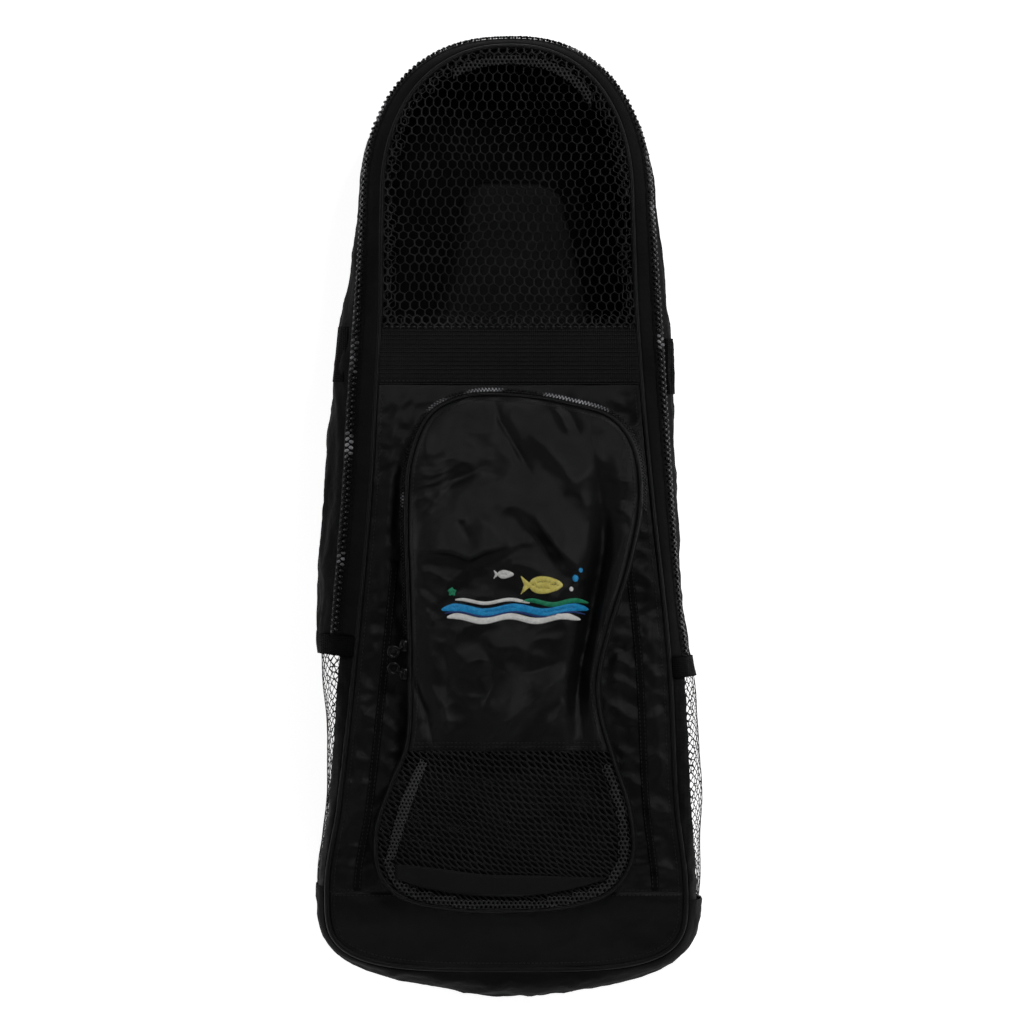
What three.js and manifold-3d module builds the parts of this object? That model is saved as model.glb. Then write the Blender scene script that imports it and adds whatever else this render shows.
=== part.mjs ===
// A black mesh and nylon backpack for diving gear, empty and zipped shut, lying on its back.
// Millimetres, +Z up from the floor, +Y towards the arched top of the bag, +X to its right.
// The front panel, edged with piping, looks up. A gusset joins it to the back panel, which lies
// on the floor with the shoulder straps pressed flat under it.
import * as THREE from "three";
import { mergeGeometries, mergeVertices } from "three/addons/utils/BufferGeometryUtils.js";
import Module from "manifold-3d";

const wasm = await Module();
wasm.setup();

// Driving sizes
const FRONT_LENGTH = 695; // front panel, base seam to top of the arch
const FRONT_WIDTH = 273; // front panel at its widest, near the base
const DEPTH = 100; // floor to front seam at the deepest
const ARCH_HEIGHT = 119; // the round top of the panel
const BASE_CORNER = 56; // height of the rounded base corners
const ARCH_POWER = 2.25; // 2 is an ellipse, more is squarer
const BASE_POWER = 3.6;

const CLOTH = 1.2; // nylon
const NET = 1.0; // hexagonal mesh
const WEBBING = 1.8;
const PIPING_RADIUS = 2.1;
const GAP = 0.3; // between pieces that touch
const EDGE_GAP = 0.75; // between a sheet's edge and the piping that holds it

const BAND_TOP = 0.204 * FRONT_LENGTH; // cross band on the front panel, along Y
const BAND_HEIGHT = 44;
const BASE_SEAM = -0.407 * FRONT_LENGTH; // top edge of the plain base strip, along Y
const SEAM_STRIP_WIDTH = 6;
const SEAM_STRIP_INSET = 17; // from the front piping to the vertical seam strips
const SEAM_STRIP_TOP = -0.058 * FRONT_LENGTH;

const ZIP_FLANGE = 8; // from the piping to the zip
const ZIP_TAPE = { width: 12.5, thickness: 0.8 };
const ZIP_CHAIN_WIDTH = 7;
const ZIP_CHAIN_HEIGHT = 1.6;
// Lower edge of the nylon gusset, along Y
const HEM_BOTTOM = { left: -0.155 * FRONT_LENGTH, right: -0.178 * FRONT_LENGTH };
const HEM_HEIGHT = 15;
const HEM_EXTRA = 0.9; // how much thicker than the cloth
// Lower edge of the side mesh, then upper edge of the side bands, along Y
const MESH_BOTTOM = { left: -0.401 * FRONT_LENGTH, right: -0.417 * FRONT_LENGTH };
const SIDE_BAND_TOP = { left: 0.201 * FRONT_LENGTH, right: 0.188 * FRONT_LENGTH };
const SIDE_BAND_HEIGHT = 42;
const SIDE_BAND_START = 24; // from the piping, across the gusset

const POCKET_DEPTH = 17;
const POCKET_MESH_TOP = -0.2535 * FRONT_LENGTH; // seam between pocket cloth and mesh
const POCKET_PIPING_RADIUS = 1.7;
const POCKET_WALL_SPREAD = 2.6; // foot of the pocket wall beyond its piping
const POCKET_CHAIN_WIDTH = 5;
const POCKET_CHAIN_HEIGHT = 1.2;
const POCKET_STRIP_HEIGHT = 14; // cloth strip inside the foot of the pocket mesh
const PULL_RADIUS = 4.6;
const PULL_HOLE_RADIUS = 2.3;
const PULL_THICKNESS = 1.2;
const PULL_NECK = 9;
const SLIDER = { length: 9, width: 7, height: 3.4 };

const BACK_THICKNESS = 3; // lightly padded back panel
const BACK_PAD_THICKNESS = 4; // pad inside the back
const BACK_PAD = {
  top: 0.361 * FRONT_LENGTH,
  bottom: -0.426 * FRONT_LENGTH,
  topWidth: 78,
  flare: 0.25,
  sideClearance: 34,
};
const STRAP_PAD = { thickness: 8, width: 52, endWidth: 34 };
const STRAP_WIDTH = 25;
const ADJUSTER = { width: 34, length: 28, thickness: 4, bar: 4 };
const HAUL_LOOP = { width: 25, length: 62, fromTop: 25 };

// Net gaps are long hexagons, as wide as the real cells
const NET_GAP_WIDTH = 7.2;
const NET_BAR = 3.6;
const NET_MARGIN = 10; // unpierced edge, where the mesh is doubled into the seam
const WINDOW_GAP_LENGTH = 42;
const SIDE_GAP_LENGTH = 62;
const POCKET_GAP_LENGTH = 36;

// Front panel at stations up the bag. at, left and right are shares of half the length and half
// the width; rise and crown are shares of the depth: the height of the seam above the floor, and
// how far the cloth stands above it, or sags below, in the middle.
const STATIONS = [
  { at: -1.0, left: 0.9, right: 0.9, rise: 0.84, crown: 0.0 },
  { at: -0.84, left: 1.01, right: 0.96, rise: 0.95, crown: 0.03 },
  { at: -0.64, left: 0.942, right: 0.908, rise: 0.99, crown: 0.05 },
  { at: -0.33, left: 0.857, right: 0.868, rise: 1.0, crown: 0.03 },
  { at: 0.01, left: 0.777, right: 0.777, rise: 0.98, crown: 0.01 },
  { at: 0.23, left: 0.747, right: 0.725, rise: 0.93, crown: -0.04 },
  { at: 0.44, left: 0.718, right: 0.689, rise: 0.87, crown: -0.12 },
  { at: 0.66, left: 0.711, right: 0.667, rise: 0.8, crown: -0.1 },
  { at: 1.0, left: 0.66, right: 0.62, rise: 0.68, crown: 0.0 },
];

// Gusset round the rim. around is 0 at the base centre, 1 half way up the right side, 2 at the
// top and 3 half way up the left side. bulge is how far the gusset swells beyond the front seam
// and foot how far out it meets the back seam, both as shares of the depth.
const GUSSET = [
  { around: 0.0, bulge: 0.2, foot: 0.15 },
  { around: 0.24, bulge: 0.1, foot: 0.1 },
  { around: 0.42, bulge: 0.12, foot: 0.06 },
  { around: 0.55, bulge: 0.21, foot: 0.06 },
  { around: 0.72, bulge: 0.2, foot: 0.06 },
  { around: 0.88, bulge: 0.13, foot: 0.06 },
  { around: 1.1, bulge: 0.18, foot: 0.1 },
  { around: 1.36, bulge: 0.235, foot: 0.11 },
  { around: 1.56, bulge: 0.178, foot: 0.06 },
  { around: 1.8, bulge: 0.12, foot: 0.02 },
  { around: 2.0, bulge: 0.06, foot: 0.01 },
  { around: 2.2, bulge: 0.14, foot: 0.02 },
  { around: 2.44, bulge: 0.182, foot: 0.07 },
  { around: 2.62, bulge: 0.295, foot: 0.13 },
  { around: 2.9, bulge: 0.34, foot: 0.16 },
  { around: 3.12, bulge: 0.31, foot: 0.14 },
  { around: 3.34, bulge: 0.15, foot: 0.06 },
  { around: 3.5, bulge: 0.1, foot: 0.03 },
  { around: 3.7, bulge: 0.065, foot: 0.02 },
  { around: 3.84, bulge: 0.12, foot: 0.1 },
];

// Outline of the front pocket along its piping, as shares of half the panel's width and length.
const POCKET_OUTLINE = [
  { x: -0.03, y: -0.868 },
  { x: 0.35, y: -0.855 },
  { x: 0.56, y: -0.822 },
  { x: 0.66, y: -0.755 },
  { x: 0.645, y: -0.65 },
  { x: 0.56, y: -0.545 },
  { x: 0.485, y: -0.44 },
  { x: 0.475, y: -0.37 },
  { x: 0.53, y: -0.27 },
  { x: 0.645, y: -0.12 },
  { x: 0.708, y: 0.02 },
  { x: 0.67, y: 0.13 },
  { x: 0.56, y: 0.19 },
  { x: 0.31, y: 0.223 },
  { x: 0.0, y: 0.241 },
  { x: -0.26, y: 0.237 },
  { x: -0.44, y: 0.2 },
  { x: -0.545, y: 0.11 },
  { x: -0.572, y: 0.0 },
  { x: -0.563, y: -0.16 },
  { x: -0.552, y: -0.33 },
  { x: -0.565, y: -0.51 },
  { x: -0.655, y: -0.6 },
  { x: -0.735, y: -0.7 },
  { x: -0.715, y: -0.79 },
  { x: -0.6, y: -0.838 },
  { x: -0.35, y: -0.862 },
];

// Height of the pocket's seam above the panel and of its cloth above the seam, up the pocket.
// fold is the depth of the long crease inside its right edge. All are shares of POCKET_DEPTH.
const POCKET_STATIONS = [
  { at: -0.868, lift: 0.5, swell: 0.0, fold: 0.0, foldX: 0.42 },
  { at: -0.7, lift: 0.62, swell: 0.12, fold: 0.0, foldX: 0.42 },
  { at: -0.55, lift: 0.75, swell: 0.2, fold: 0.25, foldX: 0.4 },
  { at: -0.4, lift: 0.85, swell: 0.3, fold: 0.6, foldX: 0.38 },
  { at: -0.22, lift: 0.92, swell: 0.35, fold: 0.65, foldX: 0.44 },
  { at: -0.08, lift: 1.0, swell: 0.35, fold: 0.5, foldX: 0.5 },
  { at: 0.08, lift: 1.0, swell: 0.25, fold: 0.15, foldX: 0.5 },
  { at: 0.241, lift: 0.9, swell: 0.0, fold: 0.0, foldX: 0.5 },
];
const FOLD_HALF_WIDTH = 8;

// Two soft pleats that run down from the pocket's top seam: head and tail as shares of half the
// panel's width and length, depth as a share of the pocket's.
const PLEATS = [
  { headX: -0.13, headY: 0.22, tailX: 0.1, tailY: 0.02, depth: 0.35 },
  { headX: 0.3, headY: 0.2, tailX: 0.42, tailY: -0.02, depth: 0.2 },
];
const PLEAT_HALF_WIDTH = 7;

// Middle line of the left padded shoulder strap, then of its webbing from the end of the pad
// on, as shares of half the panel's width and length.
const STRAP_ROUTE = [
  { x: -0.24, y: 0.7 },
  { x: -0.34, y: 0.5 },
  { x: -0.38, y: 0.28 },
  { x: -0.38, y: 0.05 },
  { x: -0.38, y: -0.18 },
];
const WEBBING_ROUTE = [
  { x: -0.38, y: -0.3 },
  { x: -0.5, y: -0.54 },
  { x: -0.8, y: -0.78 },
];

const HALF_LENGTH = FRONT_LENGTH / 2;
const HALF_WIDTH = FRONT_WIDTH / 2;
const padEnd = STRAP_ROUTE[STRAP_ROUTE.length - 1];
const webbingStart = { x: padEnd.x, y: padEnd.y - GAP / HALF_LENGTH };
const RIM_STEPS = 76;
const PIPING_SIDES = 5;
const up = new THREE.Vector3(0, 0, 1);
const point = (x, y, z = 0) => new THREE.Vector3(x, y, z);
const mix = THREE.MathUtils.lerp;
const clamp = THREE.MathUtils.clamp;

// A column of a table as a smooth function of its key column, repeating after period if given.
function column(rows, key, name, period = 0) {
  const list = rows.map((row) => [row[key], row[name]]);
  if (period) {
    const [first, second] = list;
    const last = list[list.length - 1];
    list.unshift([last[0] - period, last[1]]);
    list.push([first[0] + period, first[1]], [second[0] + period, second[1]]);
  }
  const slope = (i) => {
    const a = list[Math.max(i - 1, 0)];
    const b = list[Math.min(i + 1, list.length - 1)];
    return (b[1] - a[1]) / (b[0] - a[0]);
  };
  return (at) => {
    const value = period ? THREE.MathUtils.euclideanModulo(at, period) : at;
    const x = clamp(value, list[0][0], list[list.length - 1][0]);
    let i = 0;
    while (i < list.length - 2 && list[i + 1][0] < x) i += 1;
    const span = list[i + 1][0] - list[i][0];
    const s = (x - list[i][0]) / span;
    const cubic = (2 * s - 3) * s * s;
    return (
      list[i][1] * (1 + cubic) -
      list[i + 1][1] * cubic +
      span * (slope(i) * s * (1 - s) ** 2 - slope(i + 1) * s * s * (1 - s))
    );
  };
}

const leftAt = column(STATIONS, "at", "left");
const rightAt = column(STATIONS, "at", "right");
const riseAt = column(STATIONS, "at", "rise");
const crownAt = column(STATIONS, "at", "crown");
const bulgeAt = column(GUSSET, "around", "bulge", 4);
const footAt = column(GUSSET, "around", "foot", 4);

// The front rim, all round, as points in plan. Its four quarters are the right half of the base
// and side up to mid height, the rest up to the top, and the same down the left.
const ARCH_SPRING = HALF_LENGTH - ARCH_HEIGHT;
const BASE_SPRING = BASE_CORNER - HALF_LENGTH;

function halfWidth(y, side) {
  const read = side > 0 ? rightAt : leftAt;
  const body = (at) => read(at / HALF_LENGTH) * HALF_WIDTH;
  if (y > ARCH_SPRING) {
    const share = Math.min((y - ARCH_SPRING) / ARCH_HEIGHT, 1);
    return body(ARCH_SPRING) * (1 - share ** ARCH_POWER) ** (1 / ARCH_POWER);
  }
  if (y < BASE_SPRING) {
    const share = Math.min((BASE_SPRING - y) / BASE_CORNER, 1);
    return body(BASE_SPRING) * (1 - share ** BASE_POWER) ** (1 / BASE_POWER);
  }
  return body(y);
}

// Points up one side from the base centre to the top centre, closest together where it turns.
function sidePoints(side) {
  const steps = 400;
  const found = [];
  for (let i = 0; i <= steps; i += 1) {
    const y = -HALF_LENGTH * Math.cos((Math.PI * i) / steps);
    found.push(new THREE.Vector2(side * halfWidth(y, side), y));
  }
  return found;
}

const rimShape = new THREE.Path([...sidePoints(1), ...sidePoints(-1).reverse()]);
const rimPoints = rimShape.getSpacedPoints(RIM_STEPS * 4).slice(0, -1);
const rimMiddle = Math.round(rimPoints.length / 2);

// Position on the rim for a value of around, with the outward direction there.
function rim(around) {
  const n = rimPoints.length;
  const at = (THREE.MathUtils.euclideanModulo(around, 4) / 4) * n;
  const i = Math.floor(at);
  const a = rimPoints[i % n];
  const b = rimPoints[(i + 1) % n];
  const before = rimPoints[(i - 3 + n) % n];
  const after = rimPoints[(i + 4) % n];
  const place = a.clone().lerp(b, at - i);
  const along = after.clone().sub(before).normalize();
  return { x: place.x, y: place.y, outX: along.y, outY: -along.x };
}

// The value of around where one side of the rim is at height y up the bag.
function aroundAt(y, side) {
  const n = rimPoints.length;
  for (let i = 0; i < rimMiddle; i += 1) {
    const k = side > 0 ? i : n - 1 - i;
    if (rimPoints[k].y >= y) return (4 * k) / n;
  }
  return 2;
}

const seamHeight = (y) => riseAt(y / HALF_LENGTH) * DEPTH;

// Leftmost and rightmost points at y of a closed outline given as points in plan.
function span(outline, y) {
  let low = Infinity;
  let high = -Infinity;
  outline.forEach((a, i) => {
    const b = outline[(i + 1) % outline.length];
    if (a.y > y === b.y > y) return;
    const x = mix(a.x, b.x, (y - a.y) / (b.y - a.y));
    low = Math.min(low, x);
    high = Math.max(high, x);
  });
  return { low, high };
}

// A closed outline moved in or out by a distance that may depend on the place.
function offsetOutline(places, distance) {
  return places.map((p) => {
    const d = typeof distance === "function" ? distance(p) : distance;
    return new THREE.Vector2(p.x + p.outX * d, p.y + p.outY * d);
  });
}

const rimPlaces = [...Array(RIM_STEPS).keys()].map((i) => ({
  ...rim((4 * i) / RIM_STEPS),
  around: (4 * i) / RIM_STEPS,
}));
const footOffset = (around) => footAt(around) * DEPTH;
const frontEdge = offsetOutline(rimPlaces, -(PIPING_RADIUS + EDGE_GAP));
const backRim = offsetOutline(rimPlaces, (p) => footOffset(p.around));
const backEdge = offsetOutline(
  rimPlaces,
  (p) => footOffset(p.around) - PIPING_RADIUS - EDGE_GAP - GAP,
);

// Outer face of the front panel's cloth.
function frontHeight(x, y) {
  const width = x > 0 ? halfWidth(y, 1) : halfWidth(y, -1);
  const across = Math.min(Math.abs(x) / Math.max(width, 1), 1);
  const crown = crownAt(y / HALF_LENGTH) * DEPTH * (1 - across ** 2);
  return seamHeight(y) + crown + CLOTH / 2;
}

// Underside of the back panel: raised over the straps, down at the floor by its rim.
const BACK_EDGE = PIPING_RADIUS - BACK_THICKNESS / 2;
const BACK_PLATEAU = STRAP_PAD.thickness + GAP;
const backLow = Math.min(...backEdge.map((p) => p.y));
const backHigh = Math.max(...backEdge.map((p) => p.y));

function backUnder(x, y) {
  const plateau = (share) => 1 - THREE.MathUtils.smoothstep(share, 0.8, 1);
  const { low, high } = span(backEdge, clamp(y, backLow + 2, backHigh - 2));
  const across = Math.abs((2 * (x - low)) / (high - low) - 1);
  const along = Math.abs((2 * (y - backLow)) / (backHigh - backLow) - 1);
  return mix(BACK_EDGE, BACK_PLATEAU, plateau(across) * plateau(along));
}

// Geometry of a closed body from its vertices and triangles, turned to face out.
function body(vertices, triangles) {
  const made = new THREE.BufferGeometry().setFromPoints(vertices);
  let volume = 0;
  for (const [a, b, c] of triangles) {
    volume += vertices[a].dot(vertices[b].clone().cross(vertices[c]));
  }
  const facing = volume < 0 ? triangles.map(([a, b, c]) => [a, c, b]) : triangles;
  made.setIndex(facing.flat());
  return made;
}

// A thin closed body between two skins, each a function of u and v from 0 to 1.
function skins(outer, inner, columns, rows) {
  const vertices = [];
  const index = (skin, i, j) => skin * (columns + 1) * (rows + 1) + j * (columns + 1) + i;
  for (const skin of [outer, inner]) {
    for (let j = 0; j <= rows; j += 1) {
      for (let i = 0; i <= columns; i += 1) vertices.push(skin(i / columns, j / rows));
    }
  }
  const triangles = [];
  const quad = (a, b, c, d) => triangles.push([a, b, c], [a, c, d]);
  for (let j = 0; j < rows; j += 1) {
    for (let i = 0; i < columns; i += 1) {
      quad(index(0, i, j), index(0, i + 1, j), index(0, i + 1, j + 1), index(0, i, j + 1));
      quad(index(1, i, j + 1), index(1, i + 1, j + 1), index(1, i + 1, j), index(1, i, j));
    }
  }
  for (let i = 0; i < columns; i += 1) {
    quad(index(1, i, 0), index(1, i + 1, 0), index(0, i + 1, 0), index(0, i, 0));
    quad(index(0, i, rows), index(0, i + 1, rows), index(1, i + 1, rows), index(1, i, rows));
  }
  for (let j = 0; j < rows; j += 1) {
    quad(index(0, 0, j), index(0, 0, j + 1), index(1, 0, j + 1), index(1, 0, j));
    quad(
      index(1, columns, j),
      index(1, columns, j + 1),
      index(0, columns, j + 1),
      index(0, columns, j),
    );
  }
  return body(vertices, triangles);
}

// A body lofted through rings of as many points each, closed on itself or capped at both ends.
function loft(rings, closed = false) {
  const sides = rings[0].length;
  const vertices = rings.flat();
  const triangles = [];
  const stretches = closed ? rings.length : rings.length - 1;
  for (let i = 0; i < stretches; i += 1) {
    const next = (i + 1) % rings.length;
    for (let k = 0; k < sides; k += 1) {
      const l = (k + 1) % sides;
      triangles.push([i * sides + k, i * sides + l, next * sides + l]);
      triangles.push([i * sides + k, next * sides + l, next * sides + k]);
    }
  }
  if (!closed) {
    const last = (rings.length - 1) * sides;
    for (let k = 1; k < sides - 1; k += 1) {
      triangles.push([0, k + 1, k], [last, last + k, last + k + 1]);
    }
  }
  return body(vertices, triangles);
}

// A round section in the plane of a sideways and an upward direction.
function roundRing(centre, sideways, radius, sides = PIPING_SIDES) {
  return [...Array(sides).keys()].map((k) => {
    const angle = (2 * Math.PI * k) / sides;
    return centre
      .clone()
      .addScaledVector(sideways, radius * Math.cos(angle))
      .addScaledVector(up, radius * Math.sin(angle));
  });
}

function solid(geometry) {
  const bare = new THREE.BufferGeometry();
  bare.setAttribute("position", geometry.getAttribute("position"));
  if (geometry.index) bare.setIndex(geometry.index);
  const merged = mergeVertices(bare, 1e-4);
  return new wasm.Manifold(
    new wasm.Mesh({
      numProp: 3,
      vertProperties: new Float32Array(merged.attributes.position.array),
      triVerts: new Uint32Array(merged.index.array),
    }),
  );
}

function geometryOf(manifold) {
  const { vertProperties, triVerts } = manifold.getMesh();
  return new THREE.BufferGeometry()
    .setAttribute("position", new THREE.BufferAttribute(vertProperties, 3))
    .setIndex(new THREE.BufferAttribute(triVerts, 1));
}

// Cuts long hexagonal gaps through a sheet. The cells fill the outline, in plan or seen from
// one side, and place turns an extruded cell to stand across the sheet.
function net(geometry, outline, gapLength, place) {
  const halfWide = NET_GAP_WIDTH / 2;
  const halfLong = gapLength / 2;
  const shoulder = halfLong - halfWide * 0.8;
  const cell = new THREE.Shape([
    new THREE.Vector2(0, halfLong),
    new THREE.Vector2(-halfWide, shoulder),
    new THREE.Vector2(-halfWide, -shoulder),
    new THREE.Vector2(0, -halfLong),
    new THREE.Vector2(halfWide, -shoulder),
    new THREE.Vector2(halfWide, shoulder),
  ]);
  const low = Math.min(...outline.map((p) => p.y));
  const high = Math.max(...outline.map((p) => p.y));
  const pitch = NET_GAP_WIDTH + NET_BAR;
  const rowPitch = halfLong + shoulder + NET_BAR;
  const rows = Math.max(1, Math.floor((high - low - 2 * halfLong) / rowPitch) + 1);
  const firstRow = (high + low - (rows - 1) * rowPitch) / 2;
  const most = Math.ceil(FRONT_WIDTH / pitch);
  const cells = [];
  for (let j = 0; j < rows; j += 1) {
    for (let i = -most; i <= most; i += 1) {
      const x = (i + (j % 2) / 2) * pitch;
      const y = firstRow + j * rowPitch;
      const fits = [-halfLong, -shoulder, shoulder, halfLong].every((dy) => {
        const { low: left, high: right } = span(outline, y + dy);
        return x - halfWide >= left && x + halfWide <= right;
      });
      if (!fits) continue;
      const made = new THREE.ExtrudeGeometry(cell, { depth: 4 * DEPTH, bevelEnabled: false });
      cells.push(place(made.translate(x, y, -2 * DEPTH)));
    }
  }
  return cells.length ? geometryOf(solid(geometry).subtract(solid(mergeGeometries(cells)))) : geometry;
}

const materials = {
  cloth: new THREE.MeshStandardMaterial({ color: 0x17171a, roughness: 0.55 }),
  net: new THREE.MeshStandardMaterial({ color: 0x222224, roughness: 0.7 }),
  webbing: new THREE.MeshStandardMaterial({ color: 0x141416, roughness: 0.8 }),
  piping: new THREE.MeshStandardMaterial({ color: 0x1b1b1d, roughness: 0.6 }),
  zip: new THREE.MeshStandardMaterial({ color: 0x2c2c2e, roughness: 0.35 }),
  hardware: new THREE.MeshStandardMaterial({ color: 0x1a1a1c, roughness: 0.3 }),
};

const bag = new THREE.Group();
function add(name, geometry, material) {
  const mesh = new THREE.Mesh(geometry, material);
  mesh.name = name;
  bag.add(mesh);
  return mesh;
}

// Front panel: a sheet between two heights up the bag, inside the front piping.
function frontSheet(bottom, top, columns, rows, thickness, lift = 0, crowd = "none") {
  const spread = {
    none: (v) => v,
    top: (v) => Math.sin((v * Math.PI) / 2),
    bottom: (v) => 1 - Math.cos((v * Math.PI) / 2),
  }[crowd];
  const skin = (drop) => (u, v) => {
    const y = mix(bottom, top, spread(v));
    const { low, high } = span(frontEdge, y);
    const x = mix(low, high, u);
    return point(x, y, frontHeight(x, y) + lift - drop);
  };
  return skins(skin(0), skin(thickness), columns, rows);
}

const END_INSET = PIPING_RADIUS + EDGE_GAP + 0.8; // sheets stop this far inside the rim's two ends
const BAND_BOTTOM = BAND_TOP - BAND_HEIGHT;

function buildFront() {
  const window = frontSheet(BAND_TOP + GAP, HALF_LENGTH - END_INSET, 8, 9, NET, 0, "top");
  const cutEdge = offsetOutline(rimPlaces, -(PIPING_RADIUS + GAP + NET_MARGIN));
  const above = cutEdge.filter((p) => p.y > BAND_TOP + NET_MARGIN);
  const { low, high } = span(cutEdge, BAND_TOP + NET_MARGIN);
  const cutOutline = [
    ...above,
    new THREE.Vector2(low, BAND_TOP + NET_MARGIN),
    new THREE.Vector2(high, BAND_TOP + NET_MARGIN),
  ];
  const pierced = net(window, cutOutline, WINDOW_GAP_LENGTH, (cell) => cell);
  add("front_mesh_window", pierced, materials.net);
  add(
    "front_band",
    frontSheet(BAND_BOTTOM, BAND_TOP, 8, 3, WEBBING, WEBBING - CLOTH),
    materials.webbing,
  );
  add(
    "front_panel",
    frontSheet(BASE_SEAM + GAP / 2, BAND_BOTTOM - GAP, 8, 14, CLOTH),
    materials.cloth,
  );
  add(
    "front_base",
    frontSheet(END_INSET - HALF_LENGTH, BASE_SEAM - GAP / 2, 10, 6, CLOTH, 0, "bottom"),
    materials.cloth,
  );
  const rings = rimPlaces.map((p) =>
    roundRing(point(p.x, p.y, seamHeight(p.y)), point(p.outX, p.outY), PIPING_RADIUS),
  );
  add("front_piping", loft(rings, true), materials.piping);
}

// Vertical seam strips on the front panel, left and right of the pocket.
function buildSeamStrips() {
  for (const [name, side] of [
    ["left", -1],
    ["right", 1],
  ]) {
    const steps = 8;
    const rings = [];
    for (let i = 0; i <= steps; i += 1) {
      const y = mix(BASE_SEAM + 2, SEAM_STRIP_TOP, i / steps);
      const { low, high } = span(frontEdge, y);
      const near = side > 0 ? high - SEAM_STRIP_INSET : low + SEAM_STRIP_INSET;
      const far = near - side * SEAM_STRIP_WIDTH;
      const base = (x) => frontHeight(x, y) + GAP;
      rings.push([
        point(near, y, base(near)),
        point(far, y, base(far)),
        point(far, y, base(far) + CLOTH / 2),
        point(near, y, base(near) + CLOTH / 2),
      ]);
    }
    add(`seam_strip_${name}`, loft(rings), materials.cloth);
  }
}

// The gusset's section at one place on the rim, as a curve from the front seam to the back seam.
// Its points are outward offset and height.
function gussetCurve(around) {
  const place = rim(around);
  const bulge = (bulgeAt(around) * DEPTH) / 0.94;
  const foot = footOffset(around);
  const top = seamHeight(place.y);
  return new THREE.CubicBezierCurve(
    new THREE.Vector2(0, top),
    new THREE.Vector2(bulge, mix(PIPING_RADIUS, top, 0.97)),
    new THREE.Vector2(1.3 * bulge, mix(PIPING_RADIUS, top, 0.4)),
    new THREE.Vector2(foot, PIPING_RADIUS),
  );
}

// Point of the gusset at a distance across it from the front seam, moved out by lift.
const curves = new Map();
function gussetPoint(around, distance, lift) {
  const key = around.toFixed(5);
  if (!curves.has(key)) {
    const curve = gussetCurve(around);
    curves.set(key, { curve, length: curve.getLength() });
  }
  const { curve, length } = curves.get(key);
  const share = clamp(distance / length, 0, 1);
  const at = curve.getPointAt(share);
  const along = curve.getTangentAt(share);
  const place = rim(around);
  const offset = at.x - along.y * lift;
  return point(
    place.x + place.outX * offset,
    place.y + place.outY * offset,
    at.y + along.x * lift,
  );
}

function gussetLength(around) {
  gussetPoint(around, 0, 0);
  return curves.get(around.toFixed(5)).length;
}

// A sheet on the gusset from one place on the rim to another. start and end are distances
// across it, end as seen from the back seam if it is negative.
function gussetSheet(from, to, start, end, columns, rows, thickness, lift = 0) {
  const skin = (height) => (u, v) => {
    const around = mix(from, to, u);
    const stop = end > 0 ? end : gussetLength(around) + end;
    return gussetPoint(around, mix(start, stop, v), height);
  };
  return skins(skin(lift + thickness / 2), skin(lift - thickness / 2), columns, rows);
}

const SEAM_CLEAR = PIPING_RADIUS + GAP + CLOTH / 2;
const tapeStart = SEAM_CLEAR + ZIP_FLANGE;
const chainStart = tapeStart + (ZIP_TAPE.width - ZIP_CHAIN_WIDTH) / 2;
const tapeLift = CLOTH / 2 + 3 * GAP;

function buildGusset() {
  const step = (millimetres) => (4 * millimetres) / rimShape.getLength();
  const hemTop = {
    left: aroundAt(HEM_BOTTOM.left + HEM_HEIGHT, -1),
    right: aroundAt(HEM_BOTTOM.right + HEM_HEIGHT, 1),
  };
  const hemBottom = {
    left: aroundAt(HEM_BOTTOM.left, -1),
    right: aroundAt(HEM_BOTTOM.right, 1),
  };
  const meshBottom = {
    left: aroundAt(MESH_BOTTOM.left, -1),
    right: aroundAt(MESH_BOTTOM.right, 1),
  };
  const gap = step(GAP);
  const from = hemTop.right + gap;
  const to = hemTop.left - gap;
  const trim = (begin, width, thickness, lift) =>
    gussetSheet(from, to, begin, begin + width, 44, 1, thickness, lift + thickness / 2);
  add("gusset", gussetSheet(from, to, SEAM_CLEAR, -SEAM_CLEAR, 44, 5, CLOTH), materials.cloth);
  add("zip_tape", trim(tapeStart, ZIP_TAPE.width, ZIP_TAPE.thickness, tapeLift), materials.webbing);
  add(
    "zip_chain",
    trim(chainStart, ZIP_CHAIN_WIDTH, ZIP_CHAIN_HEIGHT, tapeLift + ZIP_TAPE.thickness + GAP),
    materials.zip,
  );
  const sides = [
    ["left", -1],
    ["right", 1],
  ];
  for (const [name, side] of sides) {
    const ends = side > 0 ? [meshBottom.right, hemBottom.right] : [hemBottom.left, meshBottom.left];
    const hem = side > 0 ? [hemBottom.right, hemTop.right] : [hemTop.left, hemBottom.left];
    add(
      `side_hem_${name}`,
      gussetSheet(hem[0], hem[1], SEAM_CLEAR, -SEAM_CLEAR, 2, 6, CLOTH + HEM_EXTRA, HEM_EXTRA / 2),
      materials.webbing,
    );
    const wall = gussetSheet(
      ends[0] + gap,
      ends[1] - gap,
      SEAM_CLEAR,
      -SEAM_CLEAR,
      8,
      4,
      NET,
    );
    add(`side_mesh_${name}`, pierceSide(wall, ends, side), materials.net);
    const bandFrom = aroundAt(SIDE_BAND_TOP[name] - SIDE_BAND_HEIGHT, side);
    const bandTo = aroundAt(SIDE_BAND_TOP[name], side);
    add(
      `side_band_${name}`,
      gussetSheet(
        bandFrom,
        bandTo,
        Math.max(SIDE_BAND_START, tapeStart + ZIP_TAPE.width + GAP),
        -2 * SEAM_CLEAR,
        4,
        5,
        WEBBING,
        CLOTH / 2 + 2 * GAP + WEBBING / 2,
      ),
      materials.webbing,
    );
  }
  add(
    "base_gusset",
    gussetSheet(
      meshBottom.left + gap,
      meshBottom.right + 4 - gap,
      SEAM_CLEAR,
      -SEAM_CLEAR,
      24,
      4,
      CLOTH,
    ),
    materials.cloth,
  );
}

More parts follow.
